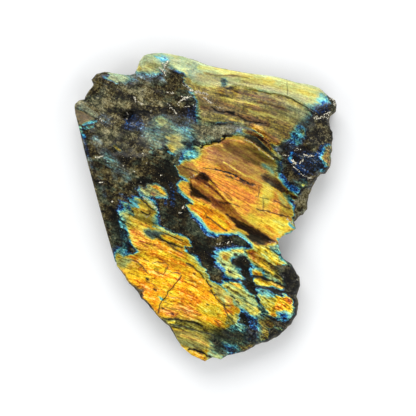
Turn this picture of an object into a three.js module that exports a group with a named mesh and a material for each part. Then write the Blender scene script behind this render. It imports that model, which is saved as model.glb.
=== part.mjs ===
// A semi-polished labradorite slab: a natural stone about 130 x 154 x 23 mm, one piece, lying on its sawn back.
//
// Millimetres, +Z up. The sawn back lies in z = 0 and the polished face looks up. X runs across the stone and Y
// along it. The origin is in the middle of the outline's box, on the back.

import * as THREE from 'three';

// ---------------------------------------------------------------------------------------------------------------
// Driving dimensions

const faceHeight = 20; // general level of the polished face above the back
const waveHeight = 0.45; // slow unevenness that hand polishing leaves in the face
const waveLength = 26;
const ringStep = 2.3; // longest step between two points of the outline
const smoothStep = 3.4; // spacing of the face's points where it is polished
const roughStep = 1.9; // spacing of the face's points where it is broken
const lineStep = 1.8; // spacing of the face's points along a ledge or a crevice
const backStep = 11; // spacing of the back's points
const endFade = 5; // a ledge or a crevice dies out over this length at both ends
const blendReach = 4; // how far the kinds of edge blend into each other along the outline
const wallRows = [
  // how high each row of the wall is, as a share of the rim's height, and how far it may stand back from the outline
  { share: 0, back: 3.0 },
  { share: 0.12, back: 1.6 },
  { share: 0.34, back: 2.2 },
  { share: 0.56, back: 2.4 },
  { share: 0.78, back: 2.0 },
];
const wallLumpLength = 5.5; // length of a lump along the wall

// ---------------------------------------------------------------------------------------------------------------
// The outline, seen from above, clockwise from the left tip, in stretches that each have a kind of edge:
// lean: how far the face stops short of the outline, because the wall leans outwards below it
// width and drop: how wide and how deep the rim rolls or breaks down towards the edge
// lumps: how lumpy the wall is, from 0, sawn, to about 1.5, hackly

const stretches = [
  {
    name: 'left tip', lean: 0.7, width: 2.5, drop: 2.0, lumps: 1.0,
    points: [
      [-65, 51], [-63.2, 53], [-60.5, 53.8], [-58.7, 57.5], [-56.4, 60.6], [-57, 63.2], [-54.4, 66.1],
      [-50.4, 67.3], [-45, 66.8], [-40, 66.1], [-37.6, 66.1], [-35.5, 66.5],
    ],
  },
  {
    name: 'top knob', lean: 0.5, width: 4.0, drop: 2.6, lumps: 0.6,
    points: [
      [-34.5, 69], [-33.2, 72.5], [-31, 75.2], [-29, 76.1], [-26, 76.6], [-22, 76.8], [-18, 76.4], [-12, 75.2],
    ],
  },
  {
    name: 'shoulder', lean: 0.4, width: 10.5, drop: 5.0, lumps: 0.5,
    points: [
      [-5, 73.2], [0, 71.3], [5, 69.9], [10, 69], [20, 67.1], [30, 66], [35, 65.2], [40, 63.8], [45, 62.4],
      [50, 61.6], [53, 60.8],
    ],
  },
  {
    name: 'upper right', lean: 0.7, width: 3.0, drop: 2.6, lumps: 1.1,
    points: [
      [56, 59.6], [58, 58.1], [60, 56], [62.3, 54.5], [64.2, 53.2], [65, 50.5], [64.8, 47.5], [62, 45],
      [61.3, 42.5],
    ],
  },
  {
    name: 'right side', lean: 1.0, width: 3.2, drop: 3.2, lumps: 1.4,
    points: [
      [61.6, 40.5], [63.4, 37.4], [63.4, 34.2], [62.5, 30.6], [63, 28], [62.4, 23], [61.8, 20], [59.5, 16.6],
      [57, 15.8], [55, 13.3], [53.2, 10], [51.7, 6], [51, 2], [50.8, -1], [48.5, -4], [46, -5.3], [44, -7.5],
    ],
  },
  {
    name: 'notch', lean: 0.5, width: 2.0, drop: 1.5, lumps: 0.9,
    points: [[44.7, -10.7], [42, -13], [37.6, -15], [36.2, -17.3], [36.5, -20], [38, -24.3], [39, -26]],
  },
  {
    name: 'dark lobe', lean: 0.9, width: 6.0, drop: 4.2, lumps: 1.0,
    points: [[43.2, -28.8], [45.2, -32.4], [46.7, -34.8], [47.1, -39.3], [46.3, -42], [45.3, -44.5]],
  },
  {
    name: 'lower right', lean: 1.1, width: 4.0, drop: 3.6, lumps: 1.3,
    points: [
      [46.3, -47.9], [45.8, -53.6], [42.4, -58.8], [40.8, -59.8], [36.6, -64], [30.9, -67.4], [25.1, -69.1],
      [19.4, -72.3],
    ],
  },
  {
    name: 'foot', lean: 0.5, width: 2.2, drop: 2.0, lumps: 0.8,
    points: [[13.7, -73.7], [10.8, -74], [7.4, -75.9], [3.3, -74.9], [-0.5, -76.8], [-7, -74]],
  },
  {
    name: 'lower left', lean: 1.5, width: 1.2, drop: 0.8, lumps: 0.8,
    points: [
      [-12.6, -69.6], [-15, -66.2], [-18.6, -59.5], [-24.2, -54], [-30.2, -47.2], [-32.3, -45.6], [-35.8, -40],
      [-38.3, -38], [-40.5, -34.7], [-44.5, -29.6],
    ],
  },
  {
    name: 'sawn side', lean: 0, width: 0.7, drop: 0.35, lumps: 0,
    points: [[-44.9, -27], [-50.5, -7.6], [-55, 8.7], [-60, 27.3], [-63, 40], [-64.6, 46], [-65, 49]],
  },
];

// ---------------------------------------------------------------------------------------------------------------
// The relief of the face

// Broad swells and hollows: middle, half lengths along and across, turn in degrees, height
const swells = [
  { name: 'fan lobe', at: [14, 11], half: [36, 15], turn: -36, height: 1.7 },
  { name: 'lower left plate', at: [-17, -36], half: [34, 25], turn: -38, height: 1.5 },
  { name: 'lower right plate', at: [30, -42], half: [22, 14], turn: -55, height: 0.9 },
  { name: 'streaked band', at: [26, 50], half: [34, 9], turn: -12, height: 0.8 },
  { name: 'top knob', at: [-27, 68], half: [11, 9], turn: 0, height: 1.0 },
  { name: 'pitted hollow', at: [-38, 42], half: [25, 20], turn: -10, height: -2.0 },
  { name: 'dark channel', at: [-4, -20], half: [26, 9], turn: -52, height: -0.9 },
];

// Ledges: the face is higher on the line's left-hand side by rise and lower on its right by fall, and both die
// away over reach
const ledges = [
  {
    name: 'shoulder ledge', rise: 0.9, fall: 1.0, reach: 7,
    points: [[12, 60.5], [20, 59.3], [30, 56.8], [40, 54.5], [46, 51], [53, 46.5], [57, 44]],
  },
  {
    name: 'upper chipped step', rise: 0.4, fall: 0.5, reach: 4,
    points: [[-11, 61], [-8.5, 59.5], [-4, 57], [0, 55.3], [3.5, 51], [9, 47.5]],
  },
  {
    name: 'second ridge', rise: 0.7, fall: 1.1, reach: 4,
    points: [[6, 42.6], [14, 41], [20, 40.2], [24, 39], [28, 37], [34, 32.5], [39, 28]],
  },
  {
    name: 'fan lobe edge', rise: 0.4, fall: 0.6, reach: 4,
    points: [[43, -1], [40.5, 2.5], [36, 7], [30, 10.5], [25, 13], [17, 17.5], [11, 21]],
  },
  {
    name: 'plate edge', rise: 0.5, fall: 0.8, reach: 5,
    points: [[-23, -55.2], [-15.6, -55.9], [-9.3, -56.5], [-3.6, -57.4], [2, -60], [8, -64], [14, -68]],
  },
  {
    name: 'foot ledge', rise: 0.5, fall: 0.9, reach: 4,
    points: [[-10, -70.3], [-6, -70.7], [-3.2, -71], [-0.5, -72.6], [2.5, -74.6]],
  },
  {
    name: 'middle crack step', rise: 0.35, fall: 0.3, reach: 3.5,
    points: [[14, -50], [10, -49.4], [7, -47], [3, -42.4], [0, -37], [-4, -31.4], [-10, -27.6]],
  },
  {
    name: 'notch step', rise: 0.5, fall: 0.7, reach: 3,
    points: [[29, -19.4], [33, -21.4], [36, -23.4], [38.4, -24.6]],
  },
  {
    name: 'dark lobe step', rise: 0.5, fall: 0.5, reach: 3,
    points: [[25, -34.6], [30, -36], [34, -37.6], [40, -39.8]],
  },
];

// Grooves: half width and depth
const grooves = [
  {
    name: 'main crevice', half: 1.7, depth: 1.8,
    points: [
      [-4, 29.4], [0, 30.8], [4, 32.4], [8, 34], [12, 34.9], [17, 34.5], [21, 33.5], [25, 30.9], [30, 26.6],
      [34, 24.2],
    ],
  },
  {
    name: 'diagonal valley', half: 4.2, depth: 2.4,
    points: [[3, 3], [9, -3], [15.7, -8.5], [22, -12], [28, -14.8], [36.4, -18]],
  },
  { name: 'lower crack', half: 0.9, depth: 0.8, points: [[-12.2, -33.8], [-15, -37], [-19, -41.6], [-23.4, -51.3]] },
];

// Broken places: an outline, how deep they are, and how wide their slope is
const chips = [
  {
    name: 'wedge', depth: 2.0, slope: 1.4,
    points: [
      [-8.5, 14.3], [-5, 15.7], [-3.5, 16.8], [-2, 16.5], [4, 11.5], [14, -2], [11, -4], [3, 3], [-5.5, 5.2],
      [-7.3, 7],
    ],
  },
  {
    name: 'grey facet', depth: 1.0, slope: 1.2,
    points: [[-0.5, 31.5], [-1, 34.6], [2, 37], [7, 36.8], [9, 34.8], [4, 33]],
  },
  {
    name: 'right shoulder', depth: 1.3, slope: 1.8,
    points: [[54.5, 49.5], [58.5, 50.6], [66, 51], [66, 46], [61, 42], [56.5, 44], [53, 46.8]],
  },
  {
    name: 'right hollow', depth: 1.2, slope: 3.0,
    points: [[46, 42], [53, 44.5], [64, 40], [64, 31], [57, 29.5], [49, 31.5]],
  },
  {
    name: 'right facet', depth: 3.0, slope: 3.0,
    points: [[42.6, -2], [44.5, 4.5], [47, 8.6], [53, 12.5], [56, 9], [52.5, -3], [46, -8]],
  },
  {
    name: 'lower left chip', depth: 2.6, slope: 1.6,
    points: [[-38, -39.4], [-34, -39.9], [-30.3, -41.2], [-30.4, -43], [-31.6, -46.8], [-37, -43]],
  },
  {
    name: 'black pit', depth: 1.3, slope: 1.4,
    points: [[-43, 46], [-40, 48.4], [-36.3, 48], [-35, 45.6], [-38, 43.4], [-41.8, 43.8]],
  },
];

// Rough ground: middle, half lengths, turn in degrees, and how high its lumps stand
const roughs = [
  { name: 'pitted hollow', at: [-38, 44], half: [28, 22], turn: -8, height: 0.75 },
  { name: 'right hollow', at: [56, 36], half: [9, 10], turn: 0, height: 0.7 },
  { name: 'right facet', at: [48, 2], half: [6, 10], turn: -25, height: 0.8 },
  { name: 'dark lobe', at: [42, -36], half: [7, 10], turn: 0, height: 0.6 },
  { name: 'lower right rim', at: [34, -61], half: [17, 6], turn: 28, height: 0.7 },
];
const lumpLength = 3.3; // size of the lumps on rough ground

// ---------------------------------------------------------------------------------------------------------------
// Repeatable randomness: smooth noise between -1 and 1 from a hashed lattice

function latticeValue(column, row, seed) {
  const mixed = (Math.imul(column, 374761393) + Math.imul(row, 668265263) + Math.imul(seed, 974634777)) | 0;
  const stirred = Math.imul(mixed ^ (mixed >>> 13), 1274126177);
  return (((stirred ^ (stirred >>> 16)) >>> 0) / 4294967295) * 2 - 1;
}

function ease(t) {
  return t * t * (3 - 2 * t);
}

function noise(x, y, seed) {
  const column = Math.floor(x);
  const row = Math.floor(y);
  const u = ease(x - column);
  const v = ease(y - row);
  const low = latticeValue(column, row, seed) * (1 - u) + latticeValue(column + 1, row, seed) * u;
  const high = latticeValue(column, row + 1, seed) * (1 - u) + latticeValue(column + 1, row + 1, seed) * u;
  return low * (1 - v) + high * v;
}

function clampedEase(t) {
  return ease(Math.min(Math.max(t, 0), 1));
}

// ---------------------------------------------------------------------------------------------------------------
// Plane geometry

function segmentFoot(start, end, x, y) {
  const alongX = end[0] - start[0];
  const alongY = end[1] - start[1];
  const length = Math.hypot(alongX, alongY);
  const share = ((x - start[0]) * alongX + (y - start[1]) * alongY) / (length * length);
  const t = Math.min(Math.max(share, 0), 1);
  const offX = x - start[0] - alongX * t;
  const offY = y - start[1] - alongY * t;
  const left = alongX * offY - alongY * offX > 0;
  return { distance: Math.hypot(offX, offY), left, t, length };
}

// Where a point stands to an open line: its distance, its side, and how far its foot is from the line's nearer end
function placeByLine(line, x, y) {
  let best = null;
  let run = 0;
  for (let i = 0; i + 1 < line.length; i += 1) {
    const foot = segmentFoot(line[i], line[i + 1], x, y);
    if (!best || foot.distance < best.distance) {
      best = { distance: foot.distance, left: foot.left, run: run + foot.t * foot.length };
    }
    run += foot.length;
  }
  best.toEnd = Math.min(best.run, run - best.run);
  return best;
}

// How deep a point lies inside a closed outline, negative outside, and the outline's side it is nearest to
function placeInLoop(loop, x, y) {
  let inside = false;
  let distance = Infinity;
  let nearest = 0;
  for (let i = 0; i < loop.length; i += 1) {
    const a = loop[i];
    const b = loop[(i + 1) % loop.length];
    if (a[1] > y !== b[1] > y && x < a[0] + ((y - a[1]) / (b[1] - a[1])) * (b[0] - a[0])) {
      inside = !inside;
    }
    const foot = segmentFoot(a, b, x, y);
    if (foot.distance < distance) {
      distance = foot.distance;
      nearest = foot.t < 0.5 ? i : (i + 1) % loop.length;
    }
  }
  return { depth: inside ? distance : -distance, nearest };
}

// 0 in the middle of a turned ellipse, 1 on its edge
function ellipseRadius(oval, x, y) {
  const turn = THREE.MathUtils.degToRad(oval.turn);
  const dx = x - oval.at[0];
  const dy = y - oval.at[1];
  const along = (dx * Math.cos(turn) + dy * Math.sin(turn)) / oval.half[0];
  const across = (dy * Math.cos(turn) - dx * Math.sin(turn)) / oval.half[1];
  return Math.hypot(along, across);
}

// The same line in equal short steps, with the direction of travel at each point
function walkLine(line, step) {
  const stops = [];
  for (let i = 0; i + 1 < line.length; i += 1) {
    const [a, b] = [line[i], line[i + 1]];
    const length = Math.hypot(b[0] - a[0], b[1] - a[1]);
    const count = Math.max(1, Math.ceil(length / step));
    for (let k = 0; k < count; k += 1) {
      const t = k / count;
      stops.push({
        at: [a[0] + (b[0] - a[0]) * t, a[1] + (b[1] - a[1]) * t],
        along: [(b[0] - a[0]) / length, (b[1] - a[1]) / length],
      });
    }
  }
  return stops;
}

// ---------------------------------------------------------------------------------------------------------------
// The outline as a ring of stations, anticlockwise, each with its inward direction, its kind of edge, and the room
// that it has to move inwards, which is small at a sharp corner

function makeRing() {
  const stations = [];
  stretches.forEach((stretch, s) => {
    const next = stretches[(s + 1) % stretches.length];
    const line = [...stretch.points, next.points[0]];
    for (const stop of walkLine(line, ringStep)) {
      stations.push({ at: stop.at, kind: stretch });
    }
  });
  stations.reverse();
  const count = stations.length;
  stations.forEach((station, i) => {
    const before = stations[(i + count - 2) % count].at;
    const after = stations[(i + 2) % count].at;
    const length = Math.hypot(after[0] - before[0], after[1] - before[1]);
    station.inward = [-(after[1] - before[1]) / length, (after[0] - before[0]) / length];
  });
  stations.forEach((station, i) => {
    const before = stations[(i + count - 3) % count].inward;
    const after = stations[(i + 3) % count].inward;
    const turn = Math.asin(before[0] * after[1] - before[1] * after[0]);
    station.room = THREE.MathUtils.clamp(1 - turn / 1.3, 0.2, 1);
  });
  const reach = Math.round(blendReach / ringStep);
  stations.forEach((station, i) => {
    for (const key of ['lean', 'width', 'drop', 'lumps']) {
      let sum = 0;
      for (let k = -reach; k <= reach; k += 1) {
        sum += stations[(i + k + count) % count].kind[key];
      }
      station[key] = station.kind.lumps === 0 ? station.kind[key] : sum / (2 * reach + 1);
    }
    station.lean *= station.room;
    station.run = i * ringStep;
  });
  return stations;
}

const ring = makeRing();
const outline = ring.map((station) => station.at);

function setBack(station, distance) {
  return [station.at[0] + station.inward[0] * distance, station.at[1] + station.inward[1] * distance];
}

// ---------------------------------------------------------------------------------------------------------------
// The height of the face at any place

function ledgeHeight(ledge, x, y) {
  const edge = 0.45; // half the width of the step itself
  const place = placeByLine(ledge.points, x, y);
  const fade = clampedEase(place.toEnd / endFade);
  const away = Math.max(place.distance - edge, 0);
  const lift = (place.left ? ledge.rise : -ledge.fall) * Math.exp(-away / ledge.reach);
  const middle = (ledge.rise - ledge.fall) / 2;
  const within = Math.min(place.distance / edge, 1);
  return fade * (middle * (1 - within) + lift * within);
}

function grooveDepth(groove, x, y) {
  const place = placeByLine(groove.points, x, y);
  const fade = clampedEase(place.toEnd / endFade);
  return fade * groove.depth * clampedEase(1 - place.distance / groove.half);
}

function roughnessAt(x, y) {
  return roughs.reduce((most, rough) => {
    const share = clampedEase(2.2 * (1 - ellipseRadius(rough, x, y)));
    return Math.max(most, share * rough.height);
  }, 0);
}

function faceHeightAt(x, y) {
  let height = faceHeight + waveHeight * noise(x / waveLength, y / waveLength, 1);
  for (const swell of swells) {
    height += swell.height * clampedEase(1.15 * (1 - ellipseRadius(swell, x, y)));
  }
  for (const ledge of ledges) {
    height += ledgeHeight(ledge, x, y);
  }
  for (const groove of grooves) {
    height -= grooveDepth(groove, x, y);
  }
  for (const chip of chips) {
    height -= chip.depth * clampedEase(placeInLoop(chip.points, x, y).depth / chip.slope);
  }
  height += roughnessAt(x, y) * noise(x / lumpLength, y / lumpLength, 2);
  const rim = placeInLoop(outline, x, y);
  const station = ring[rim.nearest];
  const fall = Math.max(1 - rim.depth / station.width, 0);
  return height - station.drop * fall * fall;
}

// ---------------------------------------------------------------------------------------------------------------
// Points of the face

function isFree(points, x, y, space) {
  return points.every((point) => Math.hypot(point[0] - x, point[1] - y) > space);
}

// Jittered rows of points inside a loop, at least spaceAt(x, y) from those that are there already
function fillLoop(points, loop, step, spaceAt) {
  const box = new THREE.Box2().setFromPoints(loop.map((point) => new THREE.Vector2(...point)));
  for (let row = 0; box.min.y + row * step < box.max.y; row += 1) {
    for (let column = 0; box.min.x + column * step < box.max.x; column += 1) {
      const x = box.min.x + (column + 0.5 + 0.45 * latticeValue(column, row, 3)) * step;
      const y = box.min.y + (row + 0.5 + 0.45 * latticeValue(column, row, 4)) * step;
      const space = spaceAt(x, y);
      if (placeInLoop(loop, x, y).depth > space * 0.6 && isFree(points, x, y, space)) {
        points.push([x, y]);
      }
    }
  }
}

function addLinePoints(points, loop, line, offsets) {
  for (const stop of walkLine(line, lineStep)) {
    for (const offset of offsets) {
      const x = stop.at[0] - stop.along[1] * offset;
      const y = stop.at[1] + stop.along[0] * offset;
      if (placeInLoop(loop, x, y).depth > 1.1 && isFree(points, x, y, 0.7)) {
        points.push([x, y]);
      }
    }
  }
}

function makeFacePoints(rimLoop) {
  const points = [...rimLoop];
  for (const ledge of ledges) {
    addLinePoints(points, rimLoop, ledge.points, [-0.5, 0.5]);
  }
  for (const groove of grooves) {
    addLinePoints(points, rimLoop, groove.points, [0, -groove.half, groove.half]);
  }
  for (const chip of chips) {
    const loop = [...chip.points, chip.points[0]];
    addLinePoints(points, rimLoop, loop, [0, chip.slope].map((offset) => offset * loopSide(chip.points)));
  }
  fillLoop(points, rimLoop, 1.05, (x, y) => {
    const share = Math.min(roughnessAt(x, y) / 0.4, 1);
    return smoothStep + (roughStep - smoothStep) * share;
  });
  return points;
}

// 1 where a loop runs anticlockwise, so that its inside is on the left, and -1 where it runs clockwise
function loopSide(loop) {
  return Math.sign(THREE.ShapeUtils.area(loop.map((point) => new THREE.Vector2(...point))));
}

// ---------------------------------------------------------------------------------------------------------------
// Delaunay triangles between the points that lie inside a loop. The loop is the first of the points.

function aroundCircle(points, corners) {
  const [a, b, c] = corners.map((corner) => points[corner]);
  const twice = 2 * ((b[0] - a[0]) * (c[1] - a[1]) - (b[1] - a[1]) * (c[0] - a[0]));
  const ab = (b[0] - a[0]) ** 2 + (b[1] - a[1]) ** 2;
  const ac = (c[0] - a[0]) ** 2 + (c[1] - a[1]) ** 2;
  const x = ((c[1] - a[1]) * ab - (b[1] - a[1]) * ac) / twice;
  const y = ((b[0] - a[0]) * ac - (c[0] - a[0]) * ab) / twice;
  return { corners, x: a[0] + x, y: a[1] + y, radius2: x * x + y * y };
}

function triangulate(inner, loop) {
  const far = 4000;
  const count = inner.length;
  const points = [...inner, [-far, -far], [far, -far], [0, far]];
  let circles = [aroundCircle(points, [count, count + 1, count + 2])];
  for (let i = 0; i < count; i += 1) {
    const open = new Map();
    const kept = [];
    for (const circle of circles) {
      const off2 = (points[i][0] - circle.x) ** 2 + (points[i][1] - circle.y) ** 2;
      if (off2 > circle.radius2) {
        kept.push(circle);
      } else {
        const [a, b, c] = circle.corners;
        for (const [from, to] of [[a, b], [b, c], [c, a]]) {
          if (!open.delete(`${to},${from}`)) {
            open.set(`${from},${to}`, [from, to]);
          }
        }
      }
    }
    for (const [from, to] of open.values()) {
      kept.push(aroundCircle(points, [from, to, i]));
    }
    circles = kept;
  }
  return circles.map((circle) => circle.corners).filter((corners) => {
    const [a, b, c] = corners.map((corner) => points[corner]);
    const x = (a[0] + b[0] + c[0]) / 3;
    const y = (a[1] + b[1] + c[1]) / 3;
    return Math.max(...corners) < count && placeInLoop(loop, x, y).depth > 0;
  });
}

// ---------------------------------------------------------------------------------------------------------------
// The stone: face, wall and back sewn into one closed mesh

// How far each row of the wall stands back from the outline. The furthest of them always reaches it.
function wallSetBacks(station) {
  const backs = wallRows.map((row, k) => {
    const lump = noise(station.run / wallLumpLength, k * 0.9, 5) + 0.5 * noise(station.run / 2.6, k * 1.7, 7);
    return station.lumps * station.room * row.back * Math.max(0.5 + 0.7 * lump, 0);
  });
  const least = Math.min(...backs);
  return backs.map((back) => back - least);
}

function makeStone() {
  const vertices = [];
  const faces = [];

  const rimLoop = ring.map((station) => setBack(station, station.lean));
  const facePoints = makeFacePoints(rimLoop);
  for (const [x, y] of facePoints) {
    vertices.push([x, y, faceHeightAt(x, y)]);
  }
  faces.push(...triangulate(facePoints, rimLoop));

  const rows = wallRows.map(() => []);
  ring.forEach((station, i) => {
    const backs = wallSetBacks(station);
    wallRows.forEach((row, k) => {
      const wander = k === 0 ? 0 : 0.05 * station.lumps * noise(station.run / wallLumpLength, k * 3.1, 6);
      rows[k].push(vertices.length);
      vertices.push([...setBack(station, backs[k]), vertices[i][2] * (row.share + wander)]);
    });
  });
  rows.push(ring.map((station, i) => i));
  for (let k = 0; k + 1 < rows.length; k += 1) {
    for (let i = 0; i < ring.length; i += 1) {
      const next = (i + 1) % ring.length;
      const corners = [rows[k][i], rows[k][next], rows[k + 1][next], rows[k + 1][i]];
      faces.push([corners[0], corners[1], corners[2]], [corners[0], corners[2], corners[3]]);
    }
  }

  const backLoop = rows[0].map((index) => vertices[index].slice(0, 2));
  const backPoints = [...backLoop];
  fillLoop(backPoints, backLoop, backStep / 2, () => backStep);
  const backIndex = backPoints.map((point, i) => {
    if (i < rows[0].length) {
      return rows[0][i];
    }
    vertices.push([...point, 0]);
    return vertices.length - 1;
  });
  for (const [a, b, c] of triangulate(backPoints, backLoop)) {
    faces.push([backIndex[a], backIndex[c], backIndex[b]]);
  }

  const geometry = new THREE.BufferGeometry();
  geometry.setAttribute('position', new THREE.Float32BufferAttribute(vertices.flat(), 3));
  geometry.setIndex(faces.flat());
  geometry.computeVertexNormals();
  return geometry;
}

const labradorite = new THREE.MeshStandardMaterial({ color: 0x4a4638, roughness: 0.35, metalness: 0 });
const stone = new THREE.Mesh(makeStone(), labradorite);
stone.name = 'labradorite_slab';

const slab = new THREE.Group();
slab.add(stone);

export default slab;
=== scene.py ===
"""A semi-polished labradorite slab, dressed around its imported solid. An add-on in layout, run as a script."""

import math

import bpy
import numpy as np
from bpy.props import FloatProperty, FloatVectorProperty, PointerProperty
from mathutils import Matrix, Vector
from mathutils.geometry import delaunay_2d_cdt


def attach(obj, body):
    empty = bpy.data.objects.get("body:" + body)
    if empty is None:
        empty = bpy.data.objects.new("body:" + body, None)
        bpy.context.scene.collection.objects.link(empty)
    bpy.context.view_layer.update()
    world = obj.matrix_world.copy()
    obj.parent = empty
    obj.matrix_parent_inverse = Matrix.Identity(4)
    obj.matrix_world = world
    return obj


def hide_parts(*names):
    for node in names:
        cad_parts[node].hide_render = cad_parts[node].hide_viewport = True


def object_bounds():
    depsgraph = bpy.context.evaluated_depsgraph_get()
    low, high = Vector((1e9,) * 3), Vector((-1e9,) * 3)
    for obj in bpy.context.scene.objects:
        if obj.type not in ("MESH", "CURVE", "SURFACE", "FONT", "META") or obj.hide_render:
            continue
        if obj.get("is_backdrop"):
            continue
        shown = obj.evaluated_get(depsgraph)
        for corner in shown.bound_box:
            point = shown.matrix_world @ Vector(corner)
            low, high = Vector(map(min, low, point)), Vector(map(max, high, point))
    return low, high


bl_info = {
    "name": "Labradorite slab",
    "version": (1, 0, 0),
    "blender": (4, 5, 0),
    "location": "View3D > Sidebar > Labradorite",
    "description": "Dresses the labradorite slab: its fine relief, its flashes, and a plain stage",
    "category": "Object",
}

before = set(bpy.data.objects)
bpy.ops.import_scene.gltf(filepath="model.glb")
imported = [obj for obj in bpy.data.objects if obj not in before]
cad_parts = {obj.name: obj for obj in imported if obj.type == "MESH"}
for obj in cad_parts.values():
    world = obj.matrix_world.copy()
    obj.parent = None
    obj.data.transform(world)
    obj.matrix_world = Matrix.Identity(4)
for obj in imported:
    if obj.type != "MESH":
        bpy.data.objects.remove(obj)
CAD_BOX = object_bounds()
NODE = "labradorite_slab"
MM = 0.001

# ------------------------------------------------------------------------------
# The solid's own form, in millimetres: the same outline, swells, ledges, grooves and chips as its source

FACE_HEIGHT = 20
WAVE_HEIGHT = 0.45
WAVE_LENGTH = 26
END_FADE = 5
BLEND_REACH = 4
LUMP_LENGTH = 3.3
EDGE_HALF = 0.3
FINE_STEP = 0.8
COARSE_STEP = 2.3
WALL_ROWS = 24
BACK_STEP = 4.0
WORN_RIM = 1.72
SHARP_ANGLE = 48

# The outline clockwise from the left tip, by stretches: lean, width, drop, lumps, points
STRETCHES = {
    "left tip": (0.7, 2.5, 2.0, 1.0, [
        (-65, 51), (-63.2, 53), (-60.5, 53.8), (-58.7, 57.5), (-56.4, 60.6), (-57, 63.2), (-54.4, 66.1),
        (-50.4, 67.3), (-45, 66.8), (-40, 66.1), (-37.6, 66.1), (-35.5, 66.5)]),
    "top knob": (0.5, 4.0, 2.6, 0.6, [
        (-34.5, 69), (-33.2, 72.5), (-31, 75.2), (-29, 76.1), (-26, 76.6), (-22, 76.8), (-18, 76.4), (-12, 75.2)]),
    "shoulder": (0.4, 10.5, 5.0, 0.5, [
        (-5, 73.2), (0, 71.3), (5, 69.9), (10, 69), (20, 67.1), (30, 66), (35, 65.2), (40, 63.8), (45, 62.4),
        (50, 61.6), (53, 60.8)]),
    "upper right": (0.7, 3.0, 2.6, 1.1, [
        (56, 59.6), (58, 58.1), (60, 56), (62.3, 54.5), (64.2, 53.2), (65, 50.5), (64.8, 47.5), (62, 45),
        (61.3, 42.5)]),
    "right side": (1.0, 3.2, 3.2, 1.4, [
        (61.6, 40.5), (63.4, 37.4), (63.4, 34.2), (62.5, 30.6), (63, 28), (62.4, 23), (61.8, 20), (59.5, 16.6),
        (57, 15.8), (55, 13.3), (53.2, 10), (51.7, 6), (51, 2), (50.8, -1), (48.5, -4), (46, -5.3), (44, -7.5)]),
    "notch": (0.5, 2.0, 1.5, 0.9, [
        (44.7, -10.7), (42, -13), (37.6, -15), (36.2, -17.3), (36.5, -20), (38, -24.3), (39, -26)]),
    "dark lobe": (0.9, 6.0, 4.2, 1.0, [
        (43.2, -28.8), (45.2, -32.4), (46.7, -34.8), (47.1, -39.3), (46.3, -42), (45.3, -44.5)]),
    "lower right": (1.1, 4.0, 3.6, 1.3, [
        (46.3, -47.9), (45.8, -53.6), (42.4, -58.8), (40.8, -59.8), (36.6, -64), (30.9, -67.4), (25.1, -69.1),
        (19.4, -72.3)]),
    "foot": (0.5, 2.2, 2.0, 0.8, [
        (13.7, -73.7), (10.8, -74), (7.4, -75.9), (3.3, -74.9), (-0.5, -76.8), (-7, -74)]),
    "lower left": (1.5, 1.2, 0.8, 0.8, [
        (-12.6, -69.6), (-15, -66.2), (-18.6, -59.5), (-24.2, -54), (-30.2, -47.2), (-32.3, -45.6), (-35.8, -40),
        (-38.3, -38), (-40.5, -34.7), (-44.5, -29.6)]),
    "sawn side": (0, 0.7, 0.35, 0, [
        (-44.9, -27), (-50.5, -7.6), (-55, 8.7), (-60, 27.3), (-63, 40), (-64.6, 46), (-65, 49)]),
}

# Broad swells and hollows: middle, half lengths, turn in degrees, height
SWELLS = [
    ((14, 11), (36, 15), -36, 1.7),
    ((-17, -36), (34, 25), -38, 1.5),
    ((30, -42), (22, 14), -55, 0.9),
    ((26, 50), (34, 9), -12, 0.8),
    ((-27, 68), (11, 9), 0, 1.0),
    ((-38, 42), (25, 20), -10, -2.0),
    ((-4, -20), (26, 9), -52, -0.9),
]

# Ledges, higher on the left of their line: rise, fall, reach, points
LEDGES = [
    (0.9, 1.0, 7, [(12, 60.5), (20, 59.3), (30, 56.8), (40, 54.5), (46, 51), (53, 46.5), (57, 44)]),
    (0.4, 0.5, 4, [(-11, 61), (-8.5, 59.5), (-4, 57), (0, 55.3), (3.5, 51), (9, 47.5)]),
    (0.7, 1.1, 4, [(6, 42.6), (14, 41), (20, 40.2), (24, 39), (28, 37), (34, 32.5), (39, 28)]),
    (0.4, 0.6, 4, [(43, -1), (40.5, 2.5), (36, 7), (30, 10.5), (25, 13), (17, 17.5), (11, 21)]),
    (0.5, 0.8, 5, [(-23, -55.2), (-15.6, -55.9), (-9.3, -56.5), (-3.6, -57.4), (2, -60), (8, -64), (14, -68)]),
    (0.5, 0.9, 4, [(-10, -70.3), (-6, -70.7), (-3.2, -71), (-0.5, -72.6), (2.5, -74.6)]),
    (0.35, 0.3, 3.5, [(14, -50), (10, -49.4), (7, -47), (3, -42.4), (0, -37), (-4, -31.4), (-10, -27.6)]),
    (0.5, 0.7, 3, [(29, -19.4), (33, -21.4), (36, -23.4), (38.4, -24.6)]),
    (0.5, 0.5, 3, [(25, -34.6), (30, -36), (34, -37.6), (40, -39.8)]),
]

# Grooves: half width, depth, points
GROOVES = [
    (1.7, 1.8, [(-4, 29.4), (0, 30.8), (4, 32.4), (8, 34), (12, 34.9), (17, 34.5), (21, 33.5), (25, 30.9),
                (30, 26.6), (34, 24.2)]),
    (4.2, 2.4, [(3, 3), (9, -3), (15.7, -8.5), (22, -12), (28, -14.8), (36.4, -18)]),
    (0.9, 0.8, [(-12.2, -33.8), (-15, -37), (-19, -41.6), (-23.4, -51.3)]),
]

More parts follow.
